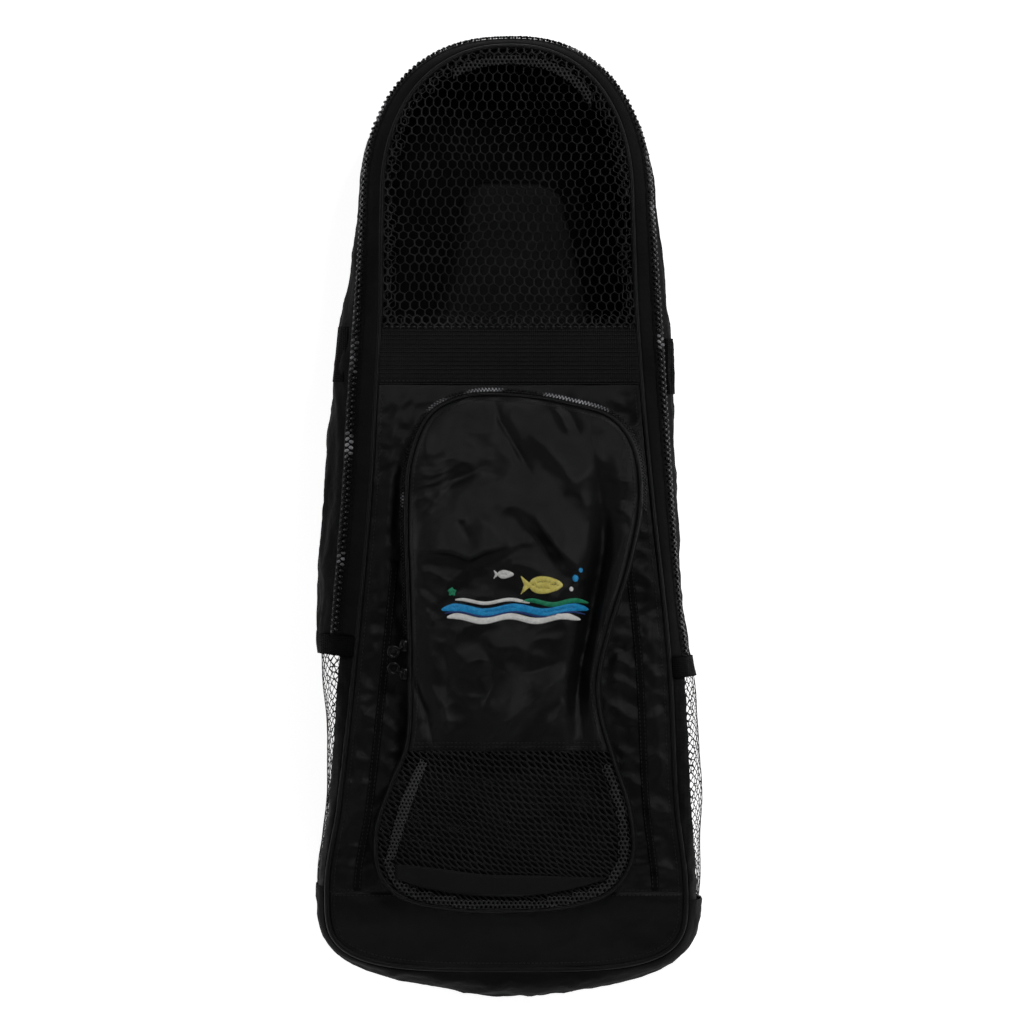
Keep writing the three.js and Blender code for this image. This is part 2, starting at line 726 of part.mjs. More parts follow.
// Cuts the side mesh with cells that run across it from left to right. The cells are laid out
// in a frame whose x is the bag's height above the floor and whose y is the bag's own.
function pierceSide(wall, ends, side) {
  const edge = (share) => {
    const around = mix(ends[0], ends[1], share);
    const place = rim(around);
    const low = gussetPoint(around, gussetLength(around) - SEAM_CLEAR - NET_MARGIN, 0);
    const high = gussetPoint(around, SEAM_CLEAR + NET_MARGIN, 0);
    return { y: place.y, low: low.z, high: high.z };
  };
  const inset = NET_MARGIN / Math.abs(rim(ends[0]).y - rim(ends[1]).y);
  const marks = [...Array(9).keys()].map((i) => edge(mix(inset, 1 - inset, i / 8)));
  const outline = [
    ...marks.map((m) => new THREE.Vector2(m.low, m.y)),
    ...marks.reverse().map((m) => new THREE.Vector2(m.high, m.y)),
  ];
  const middle = (outline[4].x + outline[13].x) / 2;
  const shifted = outline.map((p) => new THREE.Vector2(p.x - middle, p.y));
  const turn = new THREE.Matrix4().makeBasis(point(0, 0, 1), point(0, 1, 0), point(-1, 0, 0));
  return net(wall, shifted, SIDE_GAP_LENGTH, (cell) => {
    cell.applyMatrix4(turn);
    const clearOfOther = side * 2 * DEPTH;
    return cell.translate(clearOfOther, 0, middle);
  });
}

// Evenly spaced shares crowded towards both ends.
const crowded = (share) => (1 - Math.cos(share * Math.PI)) / 2;

function buildBack() {
  const skin = (height) => (u, v) => {
    const y = mix(backLow + 1.2, backHigh - 1.2, crowded(v));
    const { low, high } = span(backEdge, y);
    const x = mix(low, high, crowded(u));
    return point(x, y, backUnder(x, y) + height);
  };
  add("back_panel", skins(skin(BACK_THICKNESS), skin(0), 10, 16), materials.cloth);
  const places = rimPlaces.map((p, i) => ({ ...p, at: backRim[i] }));
  const rings = places.map((p) =>
    roundRing(point(p.at.x, p.at.y, PIPING_RADIUS), point(p.outX, p.outY), PIPING_RADIUS),
  );
  add("back_piping", loft(rings, true), materials.piping);
  const padSkin = (height) => (u, v) => {
    const y = mix(BACK_PAD.bottom, BACK_PAD.top, v);
    const flared = BACK_PAD.topWidth / 2 + BACK_PAD.flare * (BACK_PAD.top - y);
    const { low, high } = span(backEdge, y);
    const room = Math.min(-low, high) - BACK_PAD.sideClearance;
    const round = Math.min((y - BACK_PAD.bottom) / 30, (BACK_PAD.top - y) / 14, 1);
    const corner = 14 * (1 - Math.sqrt(1 - (1 - round) ** 2));
    const half = Math.min(flared, room) - corner;
    const x = mix(-half, half, u);
    return point(x, y, backUnder(x, y) + BACK_THICKNESS + GAP + height);
  };
  add("back_pad", skins(padSkin(BACK_PAD_THICKNESS), padSkin(0), 6, 14), materials.cloth);
}

// Front pocket
const pocketShape = new THREE.CatmullRomCurve3(
  POCKET_OUTLINE.map((p) => point(p.x * HALF_WIDTH, p.y * HALF_LENGTH)),
  true,
  "centripetal",
);
const POCKET_STEPS = 64;
const pocketPlaces = [...Array(POCKET_STEPS).keys()].map((i) => pocketPlace(i / POCKET_STEPS));

function pocketPlace(share) {
  const at = pocketShape.getPointAt(THREE.MathUtils.euclideanModulo(share, 1));
  const along = pocketShape.getTangentAt(THREE.MathUtils.euclideanModulo(share, 1));
  return { x: at.x, y: at.y, outX: along.y, outY: -along.x };
}

const liftAt = column(POCKET_STATIONS, "at", "lift");
const swellAt = column(POCKET_STATIONS, "at", "swell");
const foldAt = column(POCKET_STATIONS, "at", "fold");
const foldXAt = column(POCKET_STATIONS, "at", "foldX");
const pocketEdge = offsetOutline(pocketPlaces, -(POCKET_PIPING_RADIUS + EDGE_GAP));
const pocketSeam = (x, y) =>
  frontHeight(x, y) + liftAt(y / HALF_LENGTH) * POCKET_DEPTH;

// How deep a pleat is at a place: full along its line, fading out at its tail and sides.
function pleatDepth(pleat, x, y) {
  const head = new THREE.Vector2(pleat.headX * HALF_WIDTH, pleat.headY * HALF_LENGTH);
  const tail = new THREE.Vector2(pleat.tailX * HALF_WIDTH, pleat.tailY * HALF_LENGTH);
  const line = tail.clone().sub(head);
  const from = new THREE.Vector2(x, y).sub(head);
  const along = clamp(from.dot(line) / line.lengthSq(), 0, 1);
  const away = from.distanceTo(line.multiplyScalar(along));
  const side = Math.exp(-((away / PLEAT_HALF_WIDTH) ** 2));
  return pleat.depth * POCKET_DEPTH * side * (1 - along) * Math.min(along * 6, 1);
}

// Outer face of the pocket's cloth.
function pocketHeight(x, y) {
  const at = y / HALF_LENGTH;
  const { low, high } = span(pocketEdge, y);
  const across = clamp((2 * (x - low)) / (high - low) - 1, -1, 1);
  const inside = 1 - across ** 4;
  const fold = foldAt(at) * Math.exp(-(((x - foldXAt(at) * HALF_WIDTH) / FOLD_HALF_WIDTH) ** 2));
  const pleats = PLEATS.reduce((sum, pleat) => sum + pleatDepth(pleat, x, y), 0);
  const swell = (swellAt(at) - fold) * POCKET_DEPTH - pleats;
  return pocketSeam(x, y) + CLOTH / 2 + swell * inside;
}

function pocketSheet(bottom, top, columns, rows, thickness) {
  const skin = (drop) => (u, v) => {
    const y = mix(bottom, top, v);
    const { low, high } = span(pocketEdge, y);
    const x = mix(low, high, u);
    return point(x, y, pocketHeight(x, y) - drop);
  };
  return skins(skin(0), skin(thickness), columns, rows);
}

const pocketLow = Math.min(...pocketEdge.map((p) => p.y));
const pocketHigh = Math.max(...pocketEdge.map((p) => p.y));

function buildPocket() {
  add(
    "pocket_front",
    pocketSheet(POCKET_MESH_TOP + GAP / 2, pocketHigh - 1, 14, 13, CLOTH),
    materials.cloth,
  );
  const meshSheet = pocketSheet(pocketLow + 1, POCKET_MESH_TOP - GAP / 2, 8, 6, NET);
  const cut = offsetOutline(pocketPlaces, -(POCKET_PIPING_RADIUS + GAP + NET_MARGIN * 0.8));
  const top = POCKET_MESH_TOP - NET_MARGIN * 0.8;
  const ends = span(cut, top);
  const outline = [
    ...cut.filter((p) => p.y < top),
    new THREE.Vector2(ends.low, top),
    new THREE.Vector2(ends.high, top),
  ].sort((a, b) => Math.atan2(a.y - top + 30, a.x) - Math.atan2(b.y - top + 30, b.x));
  add("pocket_mesh", net(meshSheet, outline, POCKET_GAP_LENGTH, (cell) => cell), materials.net);
  const rings = pocketPlaces.map((p) =>
    roundRing(point(p.x, p.y, pocketSeam(p.x, p.y)), point(p.outX, p.outY), POCKET_PIPING_RADIUS),
  );
  add("pocket_piping", loft(rings, true), materials.piping);
  const wallRings = pocketPlaces.map((p) => {
    const at = (out, z) => point(p.x + p.outX * out, p.y + p.outY * out, z);
    const foot = at(POCKET_WALL_SPREAD, 0);
    const floor = Math.max(
      frontHeight(foot.x, foot.y),
      frontHeight(p.x, p.y),
    ) + 2 * GAP + (WEBBING - CLOTH);
    const top = pocketSeam(p.x, p.y) - POCKET_PIPING_RADIUS - GAP - CLOTH / 2;
    return [
      at(-CLOTH / 2, top),
      at(CLOTH / 2, top),
      at(POCKET_WALL_SPREAD + CLOTH / 2, floor),
      at(POCKET_WALL_SPREAD - CLOTH / 2, floor),
    ];
  });
  add("pocket_wall", loft(wallRings, true), materials.cloth);
}

// The pocket's zip runs on its wall from the sliders on the left over the top to the right.
const ZIP_FROM = 0.36; // share round the pocket's outline, on its right side
const SLIDER_SHARES = [0.735, 0.755];

function wallPoint(share, down, lift) {
  const p = pocketPlace(share);
  const top = pocketSeam(p.x, p.y) - POCKET_PIPING_RADIUS - GAP;
  const foot = frontHeight(p.x, p.y);
  const slope = POCKET_WALL_SPREAD / (top - foot);
  const out = CLOTH / 2 + down * slope + lift;
  return point(p.x + p.outX * out, p.y + p.outY * out, top - down);
}

function buildPocketZip() {
  const steps = 40;
  const near = CLOTH / 2 + GAP;
  const rings = [];
  for (let i = 0; i <= steps; i += 1) {
    const share = mix(ZIP_FROM, SLIDER_SHARES[0] - 0.006, i / steps);
    rings.push([
      wallPoint(share, CLOTH, near),
      wallPoint(share, CLOTH + POCKET_CHAIN_WIDTH, near),
      wallPoint(share, CLOTH + POCKET_CHAIN_WIDTH, near + POCKET_CHAIN_HEIGHT),
      wallPoint(share, CLOTH, near + POCKET_CHAIN_HEIGHT),
    ]);
  }
  add("pocket_zip_chain", loft(rings), materials.zip);
  SLIDER_SHARES.forEach((share, k) => {
    const p = pocketPlace(share);
    const centre = wallPoint(share, CLOTH + POCKET_CHAIN_WIDTH / 2, near + SLIDER.height / 2);
    const holder = new THREE.Group();
    holder.position.copy(centre);
    holder.rotation.z = Math.atan2(p.outY, p.outX);
    bag.add(holder);
    const shape = new THREE.BoxGeometry(SLIDER.height, SLIDER.length, SLIDER.width);
    const block = new THREE.Mesh(shape, materials.hardware);
    block.name = `pocket_slider_${k + 1}`;
    holder.add(block);
    holder.add(pull(`pocket_pull_${k + 1}`, k ? -1 : 1));
  });
}

// A flat pull tab with a round eye, lying outward from its slider.
function pull(name, turn) {
  const outline = new THREE.Shape();
  const neck = PULL_RADIUS * 0.5;
  const lean = Math.asin(neck / PULL_RADIUS);
  outline.moveTo(0, -neck);
  outline.lineTo(PULL_NECK - PULL_RADIUS * Math.cos(lean), -neck);
  outline.absarc(PULL_NECK, 0, PULL_RADIUS, Math.PI + lean, Math.PI - lean, false);
  outline.lineTo(0, neck);
  outline.closePath();
  const eye = new THREE.Path();
  eye.absarc(PULL_NECK, 0, PULL_HOLE_RADIUS, 0, 2 * Math.PI, true);
  outline.holes.push(eye);
  const shape = new THREE.ExtrudeGeometry(outline, {
    depth: PULL_THICKNESS,
    bevelEnabled: false,
    curveSegments: 8,
  });
  shape.rotateZ(turn * 0.5);
  shape.translate(SLIDER.height / 2 + GAP + neck * 0.5, 0, SLIDER.width / 2 - PULL_THICKNESS);
  const tab = new THREE.Mesh(shape, materials.hardware);
  tab.name = name;
  return tab;
}

// The cloth strip inside the foot of the pocket, seen through its mesh.
function buildPocketStrip() {
  const skin = (height) => (u, v) => {
    const y = mix(pocketLow + 10, pocketLow + 10 + POCKET_STRIP_HEIGHT, v);
    const { low, high } = span(pocketEdge, y);
    const x = mix(low + 8, high - 8, u);
    return point(x, y, frontHeight(x, y) + GAP + height);
  };
  add("pocket_strip", skins(skin(CLOTH), skin(0), 8, 1), materials.cloth);
}

// A flat strap that follows a route in plan, between a lower and an upper height.
function strap(route, widthAt, lower, upper, steps, side) {
  const curve = new THREE.CatmullRomCurve3(
    route.map((p) => point(-side * p.x * HALF_WIDTH, p.y * HALF_LENGTH)),
  );
  const rings = [];
  for (let i = 0; i <= steps; i += 1) {
    const at = curve.getPointAt(i / steps);
    const along = curve.getTangentAt(i / steps);
    const across = point(along.y, -along.x);
    const half = widthAt(i / steps) / 2;
    const left = at.clone().addScaledVector(across, -half);
    const right = at.clone().addScaledVector(across, half);
    rings.push([
      point(left.x, left.y, lower(left)),
      point(right.x, right.y, lower(right)),
      point(right.x, right.y, upper(right)),
      point(left.x, left.y, upper(left)),
    ]);
  }
  return loft(rings);
}

function buildStraps() {
  const start = webbingStart.y * HALF_LENGTH;
  const buckleTop = ADJUSTER.thickness + GAP;
  const over = (height) => (p) => {
    const past = (start - ADJUSTER.length - p.y) / ADJUSTER.length;
    return height + buckleTop * (1 - THREE.MathUtils.smoothstep(past, 0, 1));
  };
  for (const [name, side] of [
    ["left", -1],
    ["right", 1],
  ]) {
    const padWidth = (share) =>
      mix(STRAP_PAD.width, STRAP_PAD.endWidth, THREE.MathUtils.smoothstep(share, 0.6, 1));
    add(
      `strap_pad_${name}`,
      strap(STRAP_ROUTE, padWidth, () => 0, () => STRAP_PAD.thickness, 12, side),
      materials.cloth,
    );
    add(
      `strap_webbing_${name}`,
      strap([webbingStart, ...WEBBING_ROUTE], () => STRAP_WIDTH, over(0), over(WEBBING), 16, side),
      materials.webbing,
    );
    add(`strap_adjuster_${name}`, adjuster(side), materials.hardware);
  }
}

// A plain two-slot buckle under the top of the webbing.
function adjuster(side) {
  const frame = new THREE.Shape();
  const halfWide = ADJUSTER.width / 2;
  const halfLong = ADJUSTER.length / 2;
  frame.moveTo(-halfWide, -halfLong);
  frame.lineTo(halfWide, -halfLong);
  frame.lineTo(halfWide, halfLong);
  frame.lineTo(-halfWide, halfLong);
  frame.closePath();
  const slotHalf = (ADJUSTER.length - 3 * ADJUSTER.bar) / 4;
  for (const middle of [-slotHalf - ADJUSTER.bar / 2, slotHalf + ADJUSTER.bar / 2]) {
    const slot = new THREE.Path();
    slot.moveTo(-halfWide + ADJUSTER.bar, middle - slotHalf);
    slot.lineTo(-halfWide + ADJUSTER.bar, middle + slotHalf);
    slot.lineTo(halfWide - ADJUSTER.bar, middle + slotHalf);
    slot.lineTo(halfWide - ADJUSTER.bar, middle - slotHalf);
    slot.closePath();
    frame.holes.push(slot);
  }
  const shape = new THREE.ExtrudeGeometry(frame, { depth: ADJUSTER.thickness, bevelEnabled: false });
  const top = webbingStart.y * HALF_LENGTH;
  return shape.translate(-side * webbingStart.x * HALF_WIDTH, top - halfLong, 0);
}

// The haul loop: webbing folded in two, its ends in the top seam of the back, pressed flat.
function buildHaulLoop() {
  const steps = 8;
  const half = HAUL_LOOP.width / 2;
  const rings = [];
  for (let i = 0; i <= steps; i += 1) {
    const y = HALF_LENGTH - HAUL_LOOP.fromTop - (HAUL_LOOP.length * i) / steps;
    const upper = Math.min(2 * WEBBING, backUnder(half, y) - GAP);
    rings.push([
      point(-half, y),
      point(half, y),
      point(half, y, upper),
      point(-half, y, upper),
    ]);
  }
  add("haul_loop", loft(rings), materials.webbing);
}

buildFront();
buildSeamStrips();
buildGusset();
buildBack();
buildPocket();
buildPocketZip();
buildPocketStrip();
buildStraps();
buildHaulLoop();

// The origin is the middle of the bag's footprint on the floor.
const footprint = new THREE.Box3().setFromObject(bag);
const middle = footprint.getCenter(new THREE.Vector3());
bag.position.set(-middle.x, -middle.y, -footprint.min.z);

export default bag;
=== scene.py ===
import math

import bpy
import numpy as np
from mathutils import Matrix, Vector


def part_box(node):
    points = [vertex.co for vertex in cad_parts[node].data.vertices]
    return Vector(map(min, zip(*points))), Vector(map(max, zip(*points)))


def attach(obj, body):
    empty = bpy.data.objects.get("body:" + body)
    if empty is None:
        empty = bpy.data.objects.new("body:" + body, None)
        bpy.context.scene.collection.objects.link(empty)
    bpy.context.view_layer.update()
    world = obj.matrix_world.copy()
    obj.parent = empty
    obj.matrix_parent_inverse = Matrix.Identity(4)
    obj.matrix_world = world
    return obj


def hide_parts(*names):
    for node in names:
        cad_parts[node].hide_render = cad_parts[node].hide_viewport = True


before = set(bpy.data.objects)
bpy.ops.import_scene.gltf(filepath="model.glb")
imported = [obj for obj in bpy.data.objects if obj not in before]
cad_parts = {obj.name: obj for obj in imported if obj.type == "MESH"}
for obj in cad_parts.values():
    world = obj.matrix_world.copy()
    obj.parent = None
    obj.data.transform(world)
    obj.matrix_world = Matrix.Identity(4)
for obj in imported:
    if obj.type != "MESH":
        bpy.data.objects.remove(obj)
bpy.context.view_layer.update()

ROOT = "root"

# Driving sizes, as in the CAD model, with the seams across the front where the photograph has them
HALF_LENGTH = 347.5
HALF_WIDTH = 136.5
DEPTH = 100.0
ARCH_HEIGHT = 119.0
BASE_CORNER = 56.0
ARCH_POWER = 2.25
BASE_POWER = 3.6
CLOTH = 1.2
PIPING = 2.1
POCKET_PIPING = 1.7
BAND_TOP = 136.3
BAND_BOTTOM = 92.3
BASE_SEAM = -288.4
SEAM_DIP = 0.9
SEAM_WIDE = 1.6
POCKET_SEAM = -181.7
POCKET_DEPTH = 17.0
TAPE_START = 11.0
TAPE_WIDTH = 12.5
TAPE_LIFT = 1.5
HEM = 15.0
HEM_BOTTOM = {-1: -113.2, 1: -129.2}
MESH_BOTTOM = {-1: -284.2, 1: -295.3}
SIDE_BAND_TOP = {-1: 134.2, 1: 125.2}
SIDE_BAND = 42.0
HAUL_LOOP_TOP = 322.5
SIDES = {-1: "left", 1: "right"}
loop_low, loop_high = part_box("haul_loop")
SHIFT = np.array([500 * (loop_low[0] + loop_high[0]), 1000 * loop_high[1] - HAUL_LOOP_TOP, 0.0])

# The front at heights AT, as shares of half its length: half widths as shares of HALF_WIDTH, the
# rise of its edge and of its middle as shares of DEPTH
AT = [-1, -0.84, -0.64, -0.33, 0.01, 0.23, 0.44, 0.66, 1]
LEFT = [0.9, 1.01, 0.942, 0.857, 0.777, 0.747, 0.718, 0.711, 0.66]
RIGHT = [0.9, 0.96, 0.908, 0.868, 0.777, 0.725, 0.689, 0.667, 0.62]
RISE = [0.84, 0.95, 0.99, 1, 0.98, 0.93, 0.87, 0.8, 0.68]
CROWN = [0, 0.03, 0.05, 0.03, 0.01, -0.04, -0.12, -0.1, 0]
# The gusset at places AROUND the rim, 0 to 4 from the foot by the right side: how far it bulges out
# and how far its lower seam lies outside the upper one, as shares of DEPTH
AROUND = [0, 0.24, 0.42, 0.55, 0.72, 0.88, 1.1, 1.36, 1.56, 1.8, 2, 2.2, 2.44, 2.62, 2.9, 3.12,
          3.34, 3.5, 3.7, 3.84]
BULGE = [0.2, 0.1, 0.12, 0.21, 0.2, 0.13, 0.18, 0.235, 0.178, 0.12, 0.06, 0.14, 0.182, 0.295, 0.34,
         0.31, 0.15, 0.1, 0.065, 0.12]
FOOT = [0.15, 0.1, 0.06, 0.06, 0.06, 0.06, 0.1, 0.11, 0.06, 0.02, 0.01, 0.02, 0.07, 0.13, 0.16,
        0.14, 0.06, 0.03, 0.02, 0.1]
# The pocket's outline, as shares of half the front's width and length, and at heights POCKET_AT the
# lift of its seam, the swell of its cloth and the depth and place of its long fold
POCKET_OUTLINE = [
    (-0.03, -0.868), (0.35, -0.855), (0.56, -0.822), (0.66, -0.755), (0.645, -0.65),
    (0.56, -0.545), (0.485, -0.44), (0.475, -0.37), (0.53, -0.27), (0.645, -0.12), (0.708, 0.02),
    (0.67, 0.13), (0.56, 0.19), (0.31, 0.223), (0.0, 0.241), (-0.26, 0.237), (-0.44, 0.2),
    (-0.545, 0.11), (-0.572, 0.0), (-0.563, -0.16), (-0.552, -0.33), (-0.565, -0.51),
    (-0.655, -0.6), (-0.735, -0.7), (-0.715, -0.79), (-0.6, -0.838), (-0.35, -0.862)]
POCKET_AT = [-0.868, -0.7, -0.55, -0.4, -0.22, -0.08, 0.08, 0.241]
LIFT = [0.5, 0.62, 0.75, 0.85, 0.92, 1, 1, 0.9]
SWELL = [0, 0.12, 0.2, 0.3, 0.35, 0.35, 0.25, 0]
FOLD = [0, 0, 0.25, 0.6, 0.65, 0.5, 0.15, 0]
FOLD_X = [0.42, 0.42, 0.4, 0.38, 0.44, 0.5, 0.5, 0.5]


def column(keys, values, period=0):
    """Smooth function through a table's column, repeating after period if given."""
    keys, values = np.array(keys, float), np.array(values, float)
    if period:
        keys = np.concatenate([[keys[-1] - period], keys, keys[:2] + period])
        values = np.concatenate([[values[-1]], values, values[:2]])
    last = len(keys) - 1
    before = np.maximum(np.arange(last + 1) - 1, 0)
    after = np.minimum(np.arange(last + 1) + 1, last)
    slope = (values[after] - values[before]) / (keys[after] - keys[before])

    def read(at):
        x = np.mod(at, period) if period else np.asarray(at, float)
        x = np.clip(x, keys[0], keys[-1])
        i = np.clip(np.searchsorted(keys, x, side="right") - 1, 0, last - 1)
        width = keys[i + 1] - keys[i]
        s = (x - keys[i]) / width
        cubic = (2 * s - 3) * s * s
        bend = slope[i] * s * (1 - s) ** 2 - slope[i + 1] * s * s * (1 - s)
        return values[i] * (1 + cubic) - values[i + 1] * cubic + width * bend

    return read


left_at, right_at, rise_at, crown_at = (column(AT, part) for part in (LEFT, RIGHT, RISE, CROWN))
bulge_at, foot_at = (column(AROUND, part, 4) for part in (BULGE, FOOT))
lift_at, swell_at, fold_at, fold_x_at = (
    column(POCKET_AT, part) for part in (LIFT, SWELL, FOLD, FOLD_X))


def smooth(x, low, high):
    s = np.clip((x - low) / (high - low), 0, 1)
    return s * s * (3 - 2 * s)


def half_width(y, side):
    """Half width of the front panel, from its middle line, at heights y up the bag."""
    read = right_at if side > 0 else left_at
    spring, foot = HALF_LENGTH - ARCH_HEIGHT, BASE_CORNER - HALF_LENGTH
    body = read(np.clip(y, foot, spring) / HALF_LENGTH) * HALF_WIDTH
    arch = np.clip((y - spring) / ARCH_HEIGHT, 0, 1)
    base = np.clip((foot - y) / BASE_CORNER, 0, 1)
    body = body * (1 - arch**ARCH_POWER) ** (1 / ARCH_POWER)
    return body * (1 - base**BASE_POWER) ** (1 / BASE_POWER)


def width_at(x, y):
    """Half width on the side of the middle line where x is."""
    return np.where(x > 0, half_width(y, 1), half_width(y, -1))


def evenly(line, count=0, step=1.0, whole=True):
    """Points at an even pitch along a line in plan, and the line's length."""
    at = np.concatenate([[0], np.cumsum(np.hypot(*np.diff(line, axis=0).T))])
    count = count or max(8, round(at[-1] / step))
    s = np.linspace(0, at[-1], count, endpoint=whole)
    return np.stack([np.interp(s, at, line[:, i]) for i in (0, 1)], 1), at[-1]


NET_STEP = 1.2
CHUNK = 4000


class Loop:
    """A closed line in plan, anticlockwise, with evenly spaced points and outward directions."""

    def __init__(self, points, step=1.0, reach=1.0):
        self.points, self.length = evenly(np.vstack([points, points[:1]]), step=step, whole=False)
        self.count = len(self.points)
        k = max(1, round(reach / self.length * self.count))
        along = np.roll(self.points, -k, 0) - np.roll(self.points, k, 0)
        along /= np.linalg.norm(along, axis=1, keepdims=True)
        self.out = np.stack([along[:, 1], -along[:, 0]], 1)

    def read(self, share):
        """Place and outward direction at shares of the way round."""
        at = np.mod(share, 1) * self.count
        i = np.floor(at).astype(int)
        t = (at - i)[..., None]
        a, b = i % self.count, (i + 1) % self.count
        return (self.points[a] * (1 - t) + self.points[b] * t,
                self.out[a] * (1 - t) + self.out[b] * t)

    def moved(self, distance):
        return Loop(self.points + self.out * distance)

    def spans(self, y):
        """Leftmost and rightmost x at heights y."""
        heights = np.linspace(self.points[:, 1].min() + 0.05, self.points[:, 1].max() - 0.05, 500)
        crossings = [crossed(self.points, h) for h in heights]
        return (np.interp(y, heights, [x.min() for x in crossings]),
                np.interp(y, heights, [x.max() for x in crossings]))

    def across(self, u, y):
        """x at shares u from left to right, at heights y."""
        low, high = self.spans(y)
        return low + (high - low) * u

    def nearest(self, spots):
        """Signed distance outside the line, and the nearest point on it."""
        distance, places = np.empty(len(spots)), np.empty((len(spots), 2))
        for i in range(0, len(spots), CHUNK):
            part = spots[i : i + CHUNK]
            k = ((part[:, None] - self.points) ** 2).sum(2).argmin(1)
            distance[i : i + CHUNK] = ((part - self.points[k]) * self.out[k]).sum(1)
            places[i : i + CHUNK] = self.points[k]
        return distance, places


def crossed(points, height):
    """Where a closed line in plan crosses a height."""
    a, b = points, np.roll(points, -1, 0)
    k = (a[:, 1] > height) != (b[:, 1] > height)
    return a[k, 0] + (height - a[k, 1]) / (b[k, 1] - a[k, 1]) * (b[k, 0] - a[k, 0])


def side_points(side):
    y = -HALF_LENGTH * np.cos(np.pi * np.linspace(0, 1, 801))
    return np.stack([side * half_width(y, side), y], 1)


RIM = Loop(np.vstack([side_points(1), side_points(-1)[::-1]]), 1.0, 20.0)
FRONT_EDGE = RIM.moved(-1.2)


def around_at(y, side):
    """Share of four round the rim where one side is at height y."""
    k = np.arange(RIM.count // 2)
    k = k if side > 0 else RIM.count - 1 - k
    return 4 * k[np.argmax(RIM.points[k, 1] >= y)] / RIM.count


def seam_height(y):
    return rise_at(y / HALF_LENGTH) * DEPTH


def front_base_height(x, y):
    across = np.clip(np.abs(x) / np.maximum(width_at(x, y), 1), 0, 1)
    return seam_height(y) + crown_at(y / HALF_LENGTH) * DEPTH * (1 - across**2) + CLOTH / 2


# Seeded noise and creases
LATTICE = 97


def noise(x, y, seed):
    """Smooth noise with features about 1 apart, from about -1 to 1."""
    angle = np.random.default_rng(seed).uniform(0, 2 * np.pi, (LATTICE, LATTICE))
    xi, yi = np.floor(x).astype(int), np.floor(y).astype(int)
    xf, yf = x - xi, y - yi
    u, v = (t**3 * (t * (6 * t - 15) + 10) for t in (xf, yf))

    def corner(i, j):
        a = angle[(xi + i) % LATTICE, (yi + j) % LATTICE]
        return np.cos(a) * (xf - i) + np.sin(a) * (yf - j)

    low = corner(0, 0) * (1 - u) + corner(1, 0) * u
    high = corner(0, 1) * (1 - u) + corner(1, 1) * u
    return 1.5 * (low * (1 - v) + high * v)


def ridges(x, y, size, seed, stretch=1.0):
    """Sharp folds about size apart, longer along y by stretch, from about -0.5 to 0.5."""
    bend = 0.35 * noise(x / size / 2, y / size / 2 / stretch, seed + 1)
    return 0.5 - 1.5 * np.abs(noise(x / size + bend, y / size / stretch - bend, seed))


def folds(x, y, rows):
    """The sum of ridges given as rows of (height, size, seed, stretch)."""
    return sum(row[0] * ridges(x, y, *row[1:]) for row in rows)


# The photograph's pixel in the middle of the bag, and a pixel's size
MIDDLE_X, MIDDLE_Y = 511, 516
MIDDLE_DROP = 7.1
PIXEL = 0.75


def spot(px, py):
    """A place in the picture, in pixels, on the front panel in millimetres."""
    return (px - MIDDLE_X) * PIXEL, (MIDDLE_Y - py) * PIXEL - MIDDLE_DROP


def crease(x, y, points, left, right, high):
    """A ridge along a line, or a valley if high is negative. left and right are how far it falls
    away on each side of the line as one follows it."""
    line = np.array([spot(*p) for p in points])
    lengths = np.hypot(*np.diff(line, axis=0).T)
    total, best, along = lengths.sum(), np.full(np.shape(x), 1e9), np.zeros(np.shape(x))
    sign, walked = np.ones(np.shape(x)), 0.0
    for (ax, ay), (bx, by), length in zip(line, line[1:], lengths):
        t = np.clip(((x - ax) * (bx - ax) + (y - ay) * (by - ay)) / length**2, 0, 1)
        d = np.hypot(x - ax - t * (bx - ax), y - ay - t * (by - ay))
        near = d < best
        best = np.where(near, d, best)
        along = np.where(near, (walked + t * length) / total, along)
        sign = np.where(near, (bx - ax) * (y - ay) - (by - ay) * (x - ax), sign)
        walked += length
    wide = right + (left - right) * smooth(sign / np.maximum(best, 0.2) / total, -0.1, 0.1)
    fade = smooth(along, 0, 0.3) * (1 - smooth(along, 0.7, 1))
    near = np.sqrt((best / wide) ** 2 + 0.015) - 0.12
    return high * np.exp(-1.2 * near) * (1 - smooth(near, 1.2, 3.0)) * (0.2 + 0.8 * fade)


# Creases of the photograph: a line in its pixels, the fall to the left and right, and the height
PANEL_CREASES = [
    ([(395, 420), (388, 520), (384, 600)], 6, 6, 1.8),
    ([(402, 430), (398, 500), (392, 560)], 4, 4, -1.6),
    ([(640, 410), (650, 500), (655, 590)], 5, 5, 1.4),
    ([(648, 600), (655, 700), (662, 790)], 6, 6, 1.6),
    ([(606, 668), (618, 658), (632, 668), (646, 662)], 4, 3, 2.2),
    ([(604, 684), (620, 680), (634, 688), (648, 704)], 5, 3, 2.2),
    ([(612, 640), (625, 652), (642, 640)], 3, 3, -1.6),
    ([(608, 700), (622, 712), (640, 724)], 5, 3, 1.8),
    ([(630, 862), (652, 864), (682, 874)], 4, 3, 1.6),
    ([(636, 873), (664, 874), (682, 884)], 3, 3, -1.4),
    ([(330, 860), (352, 868), (372, 864)], 4, 3, 1.2),
    ([(352, 696), (364, 714), (380, 722)], 5, 3, 1.8),
    ([(348, 742), (360, 728), (374, 742)], 4, 3, 1.4),
    ([(354, 790), (364, 780), (374, 792)], 4, 3, 1.3),
    ([(650, 690), (662, 704), (668, 722)], 3, 4, -1.6),
    ([(640, 762), (654, 752), (670, 766)], 4, 3, 1.4),
    ([(644, 800), (656, 812), (672, 812)], 4, 3, 1.4),
]
